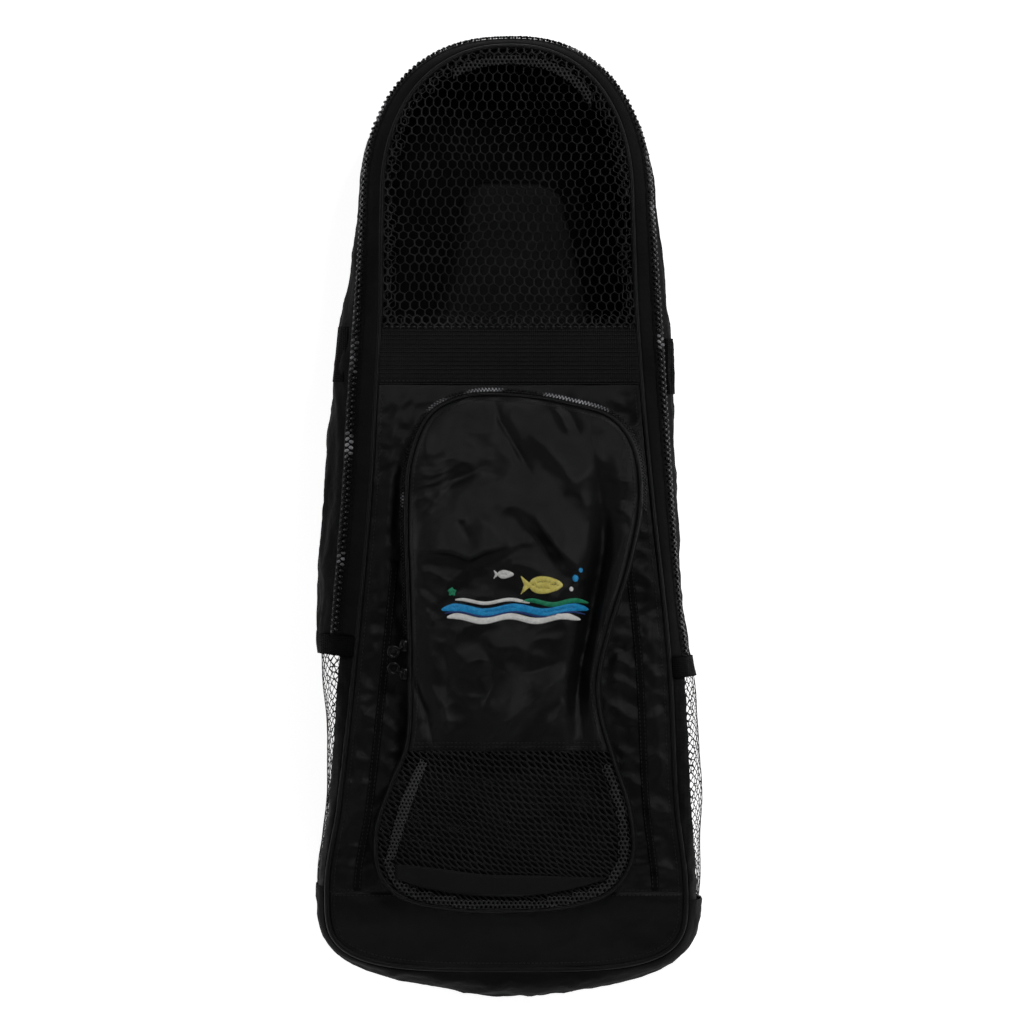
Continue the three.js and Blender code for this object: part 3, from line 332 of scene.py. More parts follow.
POCKET_CREASES = [
    ([(495, 400), (501, 421), (511, 438), (523, 458), (532, 476)], 3.5, 3, -3.4),
    ([(525, 431), (545, 445), (564, 470), (574, 484), (586, 504)], 7, 5, 2.8),
    ([(512, 504), (535, 516), (550, 538), (566, 556), (590, 578)], 10, 4.5, 3.6),
    ([(520, 521), (538, 540), (552, 562), (566, 576)], 4, 8, -2.2),
    ([(498, 578), (512, 561), (530, 564), (560, 582)], 4, 16, 2.6),
    ([(408, 548), (432, 549), (452, 551), (470, 558), (486, 550), (516, 545)], 24, 3.5, 6.6),
    ([(434, 504), (450, 484), (482, 469), (510, 478)], 14, 5, -2.4),
    ([(458, 518), (463, 528), (472, 542)], 3, 3.5, -2.2),
    ([(476, 516), (492, 530), (512, 548)], 4, 12, 1.8),
    ([(412, 472), (432, 475), (450, 469)], 2.8, 2.6, 1.6),
    ([(450, 474), (436, 482), (414, 487)], 2.6, 2.6, 1.3),
    ([(412, 503), (425, 495), (436, 503)], 2.8, 2.4, 1.5),
    ([(452, 486), (438, 498), (422, 514)], 3.5, 3, 1.6),
    ([(416, 573), (430, 570), (443, 578)], 2.8, 2.4, 1.4),
    ([(413, 588), (426, 597), (438, 607)], 2.8, 2.4, 1.5),
    ([(418, 606), (430, 612), (434, 626)], 3, 2.6, 1.2),
    ([(590, 444), (598, 477), (605, 516), (604, 552), (598, 592), (590, 630), (581, 660),
      (575, 700), (572, 742)], 8, 10, -4.6),
    ([(632, 516), (622, 540), (613, 564), (603, 600), (596, 640), (591, 676), (589, 736)],
     6, 5, 2.6),
    ([(612, 506), (624, 511), (634, 524)], 3.4, 2.6, 1.8),
    ([(602, 474), (618, 480), (634, 482)], 4, 3, 1.2),
    ([(480, 634), (498, 646), (516, 645), (532, 654)], 7, 5, 3.0),
    ([(458, 674), (468, 660), (480, 656), (494, 666)], 5, 14, 2.6),
    ([(494, 660), (492, 684), (484, 704)], 4, 5, -1.6),
    ([(580, 664), (558, 678), (536, 698), (514, 716), (494, 744)], 7, 13, 4.2),
    ([(520, 672), (540, 668), (560, 660)], 4, 5, -1.6),
    ([(411, 668), (420, 696), (428, 716), (434, 746)], 3, 3.2, -3.4),
    ([(432, 684), (444, 706), (450, 732)], 5, 4, 2.4),
    ([(480, 746), (494, 724), (514, 716)], 6, 5, 1.8),
    ([(444, 640), (448, 668), (444, 700)], 6, 5, -1.8),
    ([(550, 403), (562, 417), (568, 434)], 3.4, 2.6, 1.8),
    ([(559, 400), (572, 416), (580, 436)], 2.6, 3.4, -1.8),
    ([(430, 420), (424, 440), (430, 462)], 10, 6, 1.6),
    ([(540, 730), (556, 716), (570, 690)], 5, 4, 1.4),
]
CREASE_GAIN = {"panel": 1.2, "pocket": 1.3}

# Small folds, as rows of (height, size, seed, stretch)
PANEL_FOLDS = [(2.0, 34, 11, 1.5), (1.2, 16, 12), (0.35, 8, 13)]
POCKET_FOLDS = [(1.5, 36, 21), (0.4, 17, 22), (0.1, 8, 23)]
GUSSET_FOLDS = [(2.0, 24, 31, 3.0), (0.9, 12, 32, 2.0), (0.4, 6, 33)]
BASE_FOLDS = [(2.0, 46, 61, 0.6), (0.8, 18, 62), (0.3, 8, 63)]

# A swell on the left of the pocket that catches the light: its middle, half sizes and height
SWELL_AT = (-56, -20)
SWELL_SIZE = (26, 20)
SWELL_HIGH = 3.0


def through(p, count):
    """A centripetal Catmull-Rom curve from the second of points p to the last but one, count
    points to each step."""
    t = np.linspace(0, 1, count, endpoint=False)[:, None]
    made = []
    for a, b, c, d in zip(p, p[1:], p[2:], p[3:]):
        ab, bc, cd = (math.sqrt(np.hypot(*(q - r))) for q, r in ((b, a), (c, b), (d, c)))
        t1 = bc * ((b - a) / ab - (c - a) / (ab + bc) + (c - b) / bc)
        t2 = bc * ((c - b) / bc - (d - b) / (bc + cd) + (d - c) / cd)
        made.append(b + t1 * t + (3 * (c - b) - 2 * t1 - t2) * t**2
                    + (2 * (b - c) + t1 + t2) * t**3)
    return np.vstack(made)


outline = np.array(POCKET_OUTLINE) * (HALF_WIDTH, HALF_LENGTH)
POCKET = Loop(through(np.vstack([outline[-1:], outline, outline[:2]]), 40), 1.0, 1.5)
POCKET_EDGE = POCKET.moved(-1.0)
edge_y = np.linspace(POCKET_EDGE.points[:, 1].min(), POCKET_EDGE.points[:, 1].max(), 600)
edge_low, edge_high = POCKET_EDGE.spans(edge_y)


def front_height(x, y):
    """Outer face of the front panel, with its creases."""
    inset = np.maximum(width_at(x, y) - np.abs(x), 0)
    calm = smooth(inset, 0, 10) * smooth(np.abs(y - BASE_SEAM), 0, 8)
    plain = smooth(y, BAND_BOTTOM, BAND_BOTTOM - 16) * calm
    lower = smooth(y, BASE_SEAM - 4, BASE_SEAM + 4)
    soft = 1.4 * noise(x / 60, y / 34, 14) + 0.5 * ridges(x, y, 26, 15)
    height = plain * (folds(x, y, PANEL_FOLDS) * lower + soft * (1 - lower))
    pucker = np.exp(-inset / 9) * smooth(inset, 0.5, 4) * (y < BAND_BOTTOM - 6)
    height = height + 0.5 * pucker * noise(y / 5, np.sign(x) * 9 + inset / 30, 16)
    for points, left, right, high in PANEL_CREASES:
        height = height + calm * crease(x, y, points, left, right, CREASE_GAIN["panel"] * high)
    height = height - SEAM_DIP * np.exp(-(((y - BASE_SEAM) / SEAM_WIDE) ** 2))
    sag = smooth(y, BAND_TOP, BAND_TOP + 20)
    height = height + sag * (1.5 * noise(x / 50, y / 50, 17))
    return front_base_height(x, y) + height


def pocket_seam(x, y):
    return front_base_height(x, y) + lift_at(y / HALF_LENGTH) * POCKET_DEPTH


def pocket_height(x, y):
    """Outer face of the pocket's cloth, with its creases."""
    low, high = np.interp(y, edge_y, edge_low), np.interp(y, edge_y, edge_high)
    rim = np.maximum(np.minimum(np.minimum(x - low, high - x), edge_y[-1] - y), 0)
    inside = 1 - np.exp(-rim / 6)
    at = y / HALF_LENGTH
    fold = fold_at(at) * np.exp(-(((x - fold_x_at(at) * HALF_WIDTH) / 8) ** 2))
    puff = np.maximum(swell_at(at), 0.3 * smooth(at, -0.15, 0.05))
    height = pocket_seam(x, y) + CLOTH / 2 + (puff - fold) * POCKET_DEPTH * inside
    calm = smooth(rim, 0, 7) * smooth(y, POCKET_SEAM - 2, POCKET_SEAM + 10)
    rough = folds(x, y, POCKET_FOLDS) + 1.2 * noise(x / 44, y / 44, 24)
    swell = [((v - middle) / size) ** 2
             for v, middle, size in zip((x, y), SWELL_AT, SWELL_SIZE)]
    height = height + calm * (rough + SWELL_HIGH * np.exp(-swell[0] - swell[1]))
    for points, left, right, high in POCKET_CREASES:
        high = CREASE_GAIN["pocket"] * high
        height = height + smooth(rim, 0, 5) * crease(x, y, points, left, right, high)
    mesh = smooth(y, POCKET_SEAM, POCKET_SEAM - 10) * smooth(rim, 0, 12)
    return height + mesh * (2.2 * noise(x / 40, y / 30, 25) - 1.0)


# Gusset
def gusset(around, across, lift):
    """Points of the gusset at shares across it from the front seam, moved out by lift."""
    around, across, lift = np.broadcast_arrays(around, across, lift)
    shape = around.shape
    around, across, lift = around.ravel(), across.ravel(), lift.ravel()
    keys, index = np.unique(np.round(around, 6), return_inverse=True)
    place, out = RIM.read(keys / 4)
    top = seam_height(place[:, 1])
    bulge, foot = bulge_at(keys) * DEPTH / 0.94, foot_at(keys) * DEPTH
    t = np.linspace(0, 1, 60)
    weights = [(1 - t) ** 3, 3 * t * (1 - t) ** 2, 3 * t * t * (1 - t), t**3]
    offset = [0 * bulge, bulge, 1.3 * bulge, foot]
    height = [top, *(PIPING + (top - PIPING) * share for share in (0.97, 0.4)), 0 * top + PIPING]
    curve = np.stack([sum(w * c[:, None] for w, c in zip(weights, part))
                      for part in (offset, height)], 2)
    steps = np.linalg.norm(np.diff(curve, axis=1), axis=2)
    walked = np.concatenate([np.zeros((len(keys), 1)), np.cumsum(steps, 1)], 1)
    target = np.clip(across, 0, 1) * walked[index, -1]
    i = np.clip((walked[index] <= target[:, None]).sum(1) - 1, 0, 58)
    s = (target - walked[index, i]) / np.maximum(steps[index, i], 1e-9)
    a, b = curve[index, i], curve[index, i + 1]
    at, along = a + (b - a) * s[:, None], (b - a) / np.maximum(steps[index, i], 1e-9)[:, None]
    flat = place[index] + out[index] * (at[:, 0] - along[:, 1] * lift)[:, None]
    return np.column_stack([flat, at[:, 1] + along[:, 0] * lift]).reshape(*shape, 3)


def gusset_length(around):
    p = gusset(np.full(60, float(around)), np.linspace(0, 1, 60), 0)
    return np.linalg.norm(np.diff(p, axis=0), axis=1).sum()


AROUND_AT = np.linspace(0, 4, 161)
LENGTHS = np.array([gusset_length(a) for a in AROUND_AT])


def length_at(around):
    """The way across the gusset from seam to seam, in millimetres."""
    return np.interp(np.mod(around, 4), AROUND_AT, LENGTHS)


def gusset_at(around, distance, lift):
    """As gusset, with distances across in millimetres from the front seam."""
    return gusset(around, distance / length_at(around), lift)


def crinkled(around, distance):
    """How far the gusset's nylon stands out, at a distance from the front seam."""
    along = around * RIM.length / 4
    calm = smooth(distance, TAPE_START + TAPE_WIDTH, TAPE_START + TAPE_WIDTH + 10)
    rough = folds(distance, along, GUSSET_FOLDS) + 1.6 * noise(along / 45, 0 * along, 34)
    return calm * rough * smooth(length_at(around) - distance, 0, 14) + 0.5


# Meshes
pieces = {}


def make(name, body, material, replaced=""):
    """A smooth closed object of the bag from a body's vertices, in millimetres in the panel's
    frame, and faces. It stands for the CAD node replaced."""
    vertices, faces = body
    points = (np.asarray(vertices) + SHIFT) / 1000
    faces = [np.asarray(f, np.int32) for f in faces if len(f)]
    counts = np.concatenate([np.full(len(f), f.shape[1]) for f in faces])
    loops = np.concatenate([f.ravel() for f in faces])
    volume = 0.0
    for f in faces:
        for k in range(1, f.shape[1] - 1):
            a, b, c = points[f[:, 0]], points[f[:, k]], points[f[:, k + 1]]
            volume += (a * np.cross(b, c)).sum()
    mesh = bpy.data.meshes.new(name)
    mesh.vertices.add(len(points))
    mesh.vertices.foreach_set("co", points.astype(np.float32).ravel())
    mesh.loops.add(len(loops))
    mesh.loops.foreach_set("vertex_index", loops)
    mesh.polygons.add(len(counts))
    mesh.polygons.foreach_set("loop_start", np.concatenate([[0], np.cumsum(counts)[:-1]]))
    mesh.update(calc_edges=True)
    if volume < 0:
        mesh.flip_normals()
    mesh.shade_smooth()
    mesh.materials.append(material)
    piece = bpy.data.objects.new(name, mesh)
    bpy.context.collection.objects.link(piece)
    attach(piece, ROOT)
    if replaced:
        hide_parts(replaced)
    pieces[name] = piece
    return piece


def cloth_facts(piece, length=0.0):
    """Reads the areas of a sheet's faces and returns nothing. A strip gives its length."""
    mesh = piece.data
    areas = np.empty(len(mesh.polygons))
    mesh.polygons.foreach_get("area", areas)
    if length:
        return


def quads(index, wrap=(False, False)):
    """Faces of a grid of vertex numbers, wrapped round its rows or columns."""
    for axis, on in enumerate(wrap):
        if on:
            index = np.concatenate([index, np.take(index, [0], axis)], axis)
    corners = [index[:-1, :-1], index[:-1, 1:], index[1:, 1:], index[1:, :-1]]
    return np.stack(corners, -1).reshape(-1, 4)


def skins(outer, inner):
    """Vertices and faces of a closed sheet between two grids of points."""
    rows, columns = outer.shape[:2]
    top = np.arange(rows * columns).reshape(rows, columns)
    under = top + rows * columns
    border = np.concatenate([top[0, :-1], top[:-1, -1], top[-1, :0:-1], top[:0:-1, 0]])
    low = border + rows * columns
    wall = np.stack([border, low, np.roll(low, -1), np.roll(border, -1)], -1)
    vertices = np.concatenate([outer.reshape(-1, 3), inner.reshape(-1, 3)])
    return vertices, [np.concatenate([quads(top), quads(under)[:, ::-1], wall])]


def grid_sheet(place, us, vs, thick):
    """A closed sheet whose outer face is place(u, v). us may be the number of even shares."""
    u, v = np.meshgrid(np.linspace(0, 1, us) if isinstance(us, int) else us, vs)
    outer = place(u, v)
    normal = np.cross(np.gradient(outer, axis=1), np.gradient(outer, axis=0))
    normal /= np.maximum(np.linalg.norm(normal, axis=2, keepdims=True), 1e-9)
    if normal[..., 2].sum() < 0 and abs(normal[..., 2].mean()) > 0.4:
        normal = -normal
    return skins(outer, outer - normal * thick)


def loft(rings, closed=False):
    """Vertices and faces of a body through rings of points, capped unless it is closed."""
    rings = np.asarray(rings)
    count, sides = rings.shape[:2]
    index = np.arange(count * sides).reshape(count, sides)
    faces = [quads(index, (closed, True))]
    if not closed:
        faces += [index[:1, ::-1], index[-1:]]
    return rings.reshape(-1, 3), faces


def unit(v):
    return v / np.maximum(np.linalg.norm(v, axis=-1, keepdims=True), 1e-12)


def tube(points, sideways, radius, sides=10, closed=False):
    """A round body along points; sideways is one direction across it."""
    points = np.asarray(points, float)
    along = (np.roll(points, -1, 0) - np.roll(points, 1, 0) if closed
             else np.gradient(points, axis=0))
    along = unit(along)
    across = unit(sideways - (sideways * along).sum(1, keepdims=True) * along)
    other = np.cross(along, across)
    turn = 2 * np.pi * np.arange(sides) / sides
    radius = np.broadcast_to(radius, len(points))[:, None, None]
    return loft(points[:, None] + radius * (np.cos(turn)[:, None] * across[:, None]
                                            + np.sin(turn)[:, None] * other[:, None]), closed)


def join(parts):
    """One list of vertices and faces from several."""
    vertices, faces, count = [], [], 0
    for points, part in parts:
        vertices.append(points)
        faces += [np.asarray(f) + count for f in part]
        count += len(points)
    return np.concatenate(vertices), faces


def along_line(points, normals, pitch, start=0.0):
    """Places at an even pitch along a line, with its direction and normals there."""
    length = np.concatenate([[0], np.cumsum(np.linalg.norm(np.diff(points, axis=0), axis=1))])
    at = np.arange(pitch / 2 + start, length[-1] - pitch / 4, pitch)
    read = lambda values, s: np.stack([np.interp(s, length, values[:, i]) for i in range(3)], 1)
    ahead = unit(read(points, at + pitch / 2) - read(points, at - pitch / 2))
    normal = read(normals, at)
    normal = unit(normal - (normal * ahead).sum(1, keepdims=True) * ahead)
    return read(points, at), ahead, normal


BEAD_SIDES = 6
BEAD_RINGS = [(-0.36, 0.8), (0.0, 1.0), (0.36, 0.8)]


def bead():
    """A small rounded bar, 1 long, 1 wide and 1 high, on its base plane."""
    turn = 2 * np.pi * np.arange(BEAD_SIDES) / BEAD_SIDES
    rings = [np.column_stack([np.full(BEAD_SIDES, x), 0.5 * r * np.cos(turn),
                              0.5 * r * np.sin(turn)]) for x, r in BEAD_RINGS]
    points = np.vstack([[[-0.5, 0, 0]], *rings, [[0.5, 0, 0]]])
    faces = []
    last = 1 + 3 * BEAD_SIDES
    for k in range(BEAD_SIDES):
        l = (k + 1) % BEAD_SIDES
        faces.append([0, 1 + l, 1 + k])
        for a in (1, 1 + BEAD_SIDES):
            b = a + BEAD_SIDES
            faces += [[a + k, a + l, b + l], [a + k, b + l, b + k]]
        faces.append([last - BEAD_SIDES + k, last - BEAD_SIDES + l, last])
    return points, np.array(faces)


def scatter(places, ahead, normal, size):
    """Beads at places, size = (long, wide, high), each one number or one a place."""
    template, faces = bead()
    across = np.cross(normal, ahead)
    size = np.stack([np.broadcast_to(s, len(places)) for s in size], 1)
    local = template[None] * size[:, None]
    points = (places[:, None] + local[..., :1] * ahead[:, None] + local[..., 1:2] * across[:, None]
              + local[..., 2:] * normal[:, None])
    index = faces[None] + (np.arange(len(places)) * len(template))[:, None, None]
    return points.reshape(-1, 3), [index.reshape(-1, 3)]


def surface_line(height, xs, ys, lift=0.15):
    """A line on a surface given as height(x, y), with its normals."""
    e = 0.5
    dx = (height(xs + e, ys) - height(xs - e, ys)) / (2 * e)
    dy = (height(xs, ys + e) - height(xs, ys - e)) / (2 * e)
    return np.stack([xs, ys, height(xs, ys) + lift], 1), unit(np.stack([-dx, -dy, 0 * dx + 1], 1))


STITCH = (2.3, 3.1, 0.7)
STITCH_HIGH = 0.55


def stitched(lines, stitch=STITCH):
    """Stitches along (points, normals) lines, their length, pitch and width given as stitch."""
    long, pitch, wide = stitch
    parts = []
    for points, normals in lines:
        places, ahead, normal = along_line(points, normals, pitch)
        parts.append(scatter(places, ahead, normal, (long, wide, STITCH_HIGH)))
    return join(parts)


# A cell of a mesh, in quarters of its pitch and sixths of its row
RING = np.array([(0, 4), (-1, 3), (-2, 2), (-2, 0), (-2, -2), (-1, -3), (0, -4), (1, -3), (2, -2),
                 (2, 0), (2, 2), (1, 3)])
OVAL = 0.45
CELL_SIZES = (0.9, 1.06)
WANDER, WANDER_OVER = 0.5, 11
STRAY_OVER = 48


def net(place, outline, pitch, row, hole, thick, seed, band=None, shift=(0, 0), turn=0.0,
        stray=0.0, only=None):
    """Strands of a honeycomb mesh inside an outline in (u, v), set in space by place(u, v, lift).
    hole is the size of a gap as shares of its cell. With a band, only the cells that near the
    outline are made, and of these those that only(u, v) takes. turn leans the rows, in radians,
    and stray pulls the cells out of line, in mm."""
    rng = np.random.default_rng(seed)
    lean = np.array([[math.cos(turn), -math.sin(turn)], [math.sin(turn), math.cos(turn)]])
    outline = Loop(np.asarray(outline), NET_STEP)
    if turn:
        outline = Loop(outline.points @ lean, NET_STEP)
    step = np.array([pitch / 4, row / 6])
    low, high = outline.points.min(0), outline.points.max(0)
    j, i = np.mgrid[math.floor(low[1] / row) - 1 : math.ceil(high[1] / row) + 2,
                    math.floor(low[0] / pitch) - 1 : math.ceil(high[0] / pitch) + 2]
    centre = np.stack([4 * i + 2 * (j % 2) + shift[0], 6 * j + shift[1]], -1).reshape(-1, 2)
    distance, _ = outline.nearest(centre * step)
    keep = distance < 0.15 * pitch
    if band:
        keep &= distance > -band
    if only:
        keep &= only(*(centre * step).T)
    centre = centre[keep]
    keys, index = np.unique((centre[:, None] + RING).reshape(-1, 2), axis=0, return_inverse=True)
    index = index.reshape(-1, 12)
    outer = keys * step
    angle = np.arctan2(RING[:, 1] * step[1], RING[:, 0] * step[0])
    oval = np.stack([pitch / 2 * np.cos(angle), row / 1.5 * np.sin(angle)], 1)
    gap = ((1 - OVAL) * RING * step + OVAL * oval) * hole
    holes = (centre * step)[:, None] + gap * rng.uniform(*CELL_SIZES, (len(centre), 1, 1))
    flat = np.concatenate([outer, holes.reshape(-1, 2)])
    for far, over, seeds in ((WANDER, WANDER_OVER, (1, 2)), (stray, STRAY_OVER, (3, 4))):
        pull = [far * noise(flat[:, 0] / over, flat[:, 1] / over, seed + k) for k in seeds]
        flat = flat + np.stack(pull, 1)
    distance, border = outline.nearest(flat)
    flat = np.where((distance > 0)[:, None], border, flat)
    n = len(outer)
    lift = np.zeros(len(flat))
    lift[:n] = thick / 2
    flat = flat @ lean.T
    upper = place(flat[:, 0], flat[:, 1], lift)
    lower = place(flat[:n, 0], flat[:n, 1], np.full(n, -thick / 2))
    vertices = np.concatenate([upper[:n], lower, upper[n:]])
    hole_index = 2 * n + np.arange(len(centre) * 12).reshape(-1, 12)
    a, b = index, np.roll(index, -1, 1)
    c, d = np.roll(hole_index, -1, 1), hole_index
    top = np.stack([a, b, c, d], -1).reshape(-1, 4)
    under = np.stack([b + n, a + n, d, c], -1).reshape(-1, 4)
    edges = np.stack([a, b], -1).reshape(-1, 2)
    _, first, count = np.unique(np.sort(edges, 1), axis=0, return_index=True, return_counts=True)
    free = edges[first[count == 1]]
    wall = np.stack([free[:, 1], free[:, 0], free[:, 0] + n, free[:, 1] + n], -1)
    return vertices, [np.concatenate([top, under, wall])]


# Materials
BLUISH = 1.06
SHEEN_ROUGHNESS = 0.4
WAVE_SCALE = 0.314
WEAVE_WANDER = 0.6
CRINKLE_SCALE = 140.0
GLOSS_SCALE, GLOSS_SPREAD = 90.0, 0.015
WEAR_SCALE, WEAR_TONE = 900.0, 0.05


def setup(node, **values):
    """Sets a node's sockets by their names, written with underscores."""
    for key, value in values.items():
        node.inputs[key.replace("_", " ")].default_value = value


def surface(name, dark, light, roughness, crinkle=0.0, weave=None, ribs=None, sheen=0.0,
            specular=0.5, patches=25.0, wear=0.0, share=(0.3, 0.7)):
    """A procedural material. dark and light are linear grey levels or colours that patches of
    about 1 / patches metres mix. weave is the thread pitch and depth in metres, ribs a pitch,
    a depth and an axis."""
    material = bpy.data.materials.new(name)
    material.use_nodes = True
    nodes, links = material.node_tree.nodes, material.node_tree.links
    shader = nodes["Principled BSDF"]
    setup(shader, Sheen_Weight=sheen, Sheen_Roughness=SHEEN_ROUGHNESS, Specular_IOR_Level=specular)
    where = nodes.new("ShaderNodeTexCoord").outputs["Object"]

    def speckle(scale, detail=4.0):
        node = nodes.new("ShaderNodeTexNoise")
        setup(node, Scale=scale, Detail=detail)
        links.new(where, node.inputs["Vector"])
        return node.outputs["Fac"]

    def spread(value, low, high, share=(0.3, 0.7)):
        node = nodes.new("ShaderNodeMapRange")
        links.new(value, node.inputs["Value"])
        setup(node, From_Min=share[0], From_Max=share[1], To_Min=low, To_Max=high)
        return node.outputs["Result"]

    def mix(factor, kind="MIX"):
        node = nodes.new("ShaderNodeMix")
        node.data_type = "RGBA"
        node.blend_type = kind
        links.new(factor, node.inputs["Factor"])
        return node.inputs[6], node.inputs[7], node.outputs[2]

    def wave(pitch, axis, wander=0.0):
        node = nodes.new("ShaderNodeTexWave")
        node.bands_direction = axis
        setup(node, Scale=WAVE_SCALE / pitch, Distortion=wander)
        links.new(where, node.inputs["Vector"])
        return node.outputs["Fac"]

    tone = lambda c: (c, c, c * BLUISH, 1) if isinstance(c, float) else (*c, 1)
    first, second, colour = mix(spread(speckle(patches), 0.0, 1.0, share))
    first.default_value, second.default_value = tone(dark), tone(light)
    if wear:
        first, second, worn = mix(spread(speckle(WEAR_SCALE, 6.0), 0.0, wear), "ADD")
        links.new(colour, first)
        second.default_value = (WEAR_TONE, WEAR_TONE, WEAR_TONE, 1)
        colour = worn
    links.new(colour, shader.inputs["Base Color"])
    links.new(spread(speckle(GLOSS_SCALE), roughness - GLOSS_SPREAD, roughness + GLOSS_SPREAD),
              shader.inputs["Roughness"])
    bumps = []
    if crinkle:
        bumps.append((speckle(CRINKLE_SCALE, 5.0), crinkle))
    if weave:
        bumps += [(wave(weave[0], axis, WEAVE_WANDER), weave[1]) for axis in ("X", "Y")]
    if ribs:
        bumps.append((wave(ribs[0], ribs[2]), ribs[1]))
    normal = None
    for height, depth in bumps:
        bump = nodes.new("ShaderNodeBump")
        bump.inputs["Distance"].default_value = depth
        links.new(height, bump.inputs["Height"])
        if normal:
            links.new(normal, bump.inputs["Normal"])
        normal = bump.outputs["Normal"]
    if normal:
        links.new(normal, shader.inputs["Normal"])
    return material


PLAIN, COARSE, BOLD = (0.0009, 0.0001), (0.001, 0.0002), (0.0016, 0.0003)
NET = {"crinkle": 0.0004, "sheen": 0.02}
nylon = surface("nylon", 0.0046, 0.0066, 0.34, 0.0002, (0.0007, 0.00006), None, 0.01, 0.115)
pocket_nylon = surface("pocket_nylon", 0.0034, 0.0054, 0.31, 0.00013, (0.0007, 0.00007), None,
                       0.01, 0.15)
# The gusset and base nylon is a lighter copy of the front nylon: its raised grey is painted sheen
# and painted light on sides that the lamps barely reach.
side_nylon_painted_light = surface("side_nylon_painted_light", 0.0065, 0.01, 0.6, 0.001, (0.0007, 0.00005), specular=0.012)
side_tape = surface("side_tape", 0.003, 0.005, 0.7, 0.0004, BOLD, specular=0.012)
edge_net = surface("edge_net", 0.004, 0.014, 0.5, specular=0.26, **NET)
net_cord = surface("net_cord", 0.0015, 0.008, 0.5, specular=0.24, **NET)
fine_net = surface("fine_net", 0.003, 0.008, 0.6, specular=0.2, **NET)
dark_net = surface("dark_net", 0.004, 0.007, 0.6, specular=0.2, **NET)
pale_tape = surface("pale_tape", 0.02, 0.036, 0.5, 0.0003, sheen=0.02, specular=0.3)
net_tape = surface("net_tape", 0.012, 0.022, 0.5, 0.0003, sheen=0.02, specular=0.3)
strip_cloth = surface("strip_cloth", 0.006, 0.009, 0.5, 0.0002, PLAIN, None, 0.01, 0.1)
webbing = surface("webbing", 0.0022, 0.004, 0.6, 0.0, BOLD, (0.0032, 0.0003, "Y"), 0.01, 0.16)
tape = surface("tape", 0.0022, 0.004, 0.6, 0.0, COARSE, None, 0.01, 0.06)
piping_cloth = surface("piping_cloth", 0.0025, 0.005, 0.42, 0.0002, PLAIN, None, 0.01, 0.14)
# The coil's light patches, 0.5 grey over part of the patch noise, are painted glints; its dark grey
# is the coil's own colour.
coil = surface("coil", 0.002, 0.5, 0.24, 0.0001, specular=0.14, patches=16.0, wear=0.1,
               share=(0.54, 0.68))
painted = surface("painted", 0.0015, 0.003, 0.34, 0.0002, specular=0.2, wear=0.05)
plastic = surface("plastic", 0.004, 0.007, 0.4, 0.0002, specular=0.4, wear=0.2)
padding = surface("padding", 0.0035, 0.006, 0.5, 0.0004, PLAIN, None, 0.01, 0.12)
back_cloth = surface("back_cloth", 0.0028, 0.0046, 0.6, 0.0003, PLAIN, None, 0.01, 0.03)
thread = surface("thread", 0.004, 0.008, 0.5, 0.0001, specular=0.3, patches=120.0)
light_thread = surface("light_thread", 0.02, 0.04, 0.5, 0.0001, specular=0.3, patches=120.0)
EMBROIDERY = {
    "white": ((0.62, 0.62, 0.6), (0.8, 0.8, 0.78)),
    "blue": ((0.0, 0.2, 0.5), (0.01, 0.36, 0.7)),
    "navy": ((0.003, 0.02, 0.12), (0.006, 0.04, 0.2)),
    "yellow": ((0.6, 0.5, 0.1), (0.75, 0.68, 0.2)),
    "green": ((0.0, 0.16, 0.07), (0.01, 0.3, 0.15)),
}
CLOTH_THICK = 0.8


def front_place(u, v):
    """Front surface at a share across between its edges and a height up the bag."""
    x = FRONT_EDGE.across(u, v)
    return np.stack([x, v, front_height(x, v)], -1)


def even(low, high, step):
    return np.linspace(low, high, max(2, round((high - low) / step) + 1))


def crowded(low, high, count, end):
    """Heights crowded towards the end where the outline closes."""
    s = np.linspace(0, 1, count)
    s = np.sin(s * np.pi / 2) if end == "top" else 1 - np.cos(s * np.pi / 2)
    return low + (high - low) * s


def lifted(height, rise, share=1.0):
    """place(u, v, lift) for a mesh that lies rise above a height(x, y)."""
    return lambda u, v, lift: np.stack([u, v, height(u, v) + (lift * share + rise)], -1)


# Front: window, cross band, nylon panel and base strip
window_line = RIM.moved(-1.0).points
window_line = window_line[window_line[:, 1] > BAND_TOP - 3.0]
make("window_net", net(lifted(front_height, 0.0), window_line, 7.0, 6.6, (0.85, 0.88), 0.8, 41,
                       stray=3.5), net_cord, "front_mesh_window")
make("window_border", net(lifted(front_height, 1.1, 0.9), window_line, 6.4, 6.0, (0.76, 0.8), 0.9,
                          44, band=9.0, shift=(2, 3)), edge_net)

# The tape over the window's top, between two pixels of the photograph
TOP_TAPE_ENDS = [(452, 200), (592, 200)]
TOP_TAPE_INSETS = (14.0, 7.0)


def arch_arc(inset):
    """The top of the window's edge from left to right, moved in by inset."""
    line = RIM.moved(-inset).points
    (left, high), (right, _) = (spot(*p) for p in TOP_TAPE_ENDS)
    line = line[(line[:, 1] > high) & (line[:, 0] > left) & (line[:, 0] < right)]
    return line[np.argsort(line[:, 0])]


lower_arc, upper_arc = (arch_arc(inset) for inset in TOP_TAPE_INSETS)
make("window_top_tape", net(
    lifted(front_height, 1.6, 0.9), np.concatenate([lower_arc, upper_arc[::-1]]), 3.2, 3.0,
    (0.5, 0.5), 0.8, 45), net_tape)
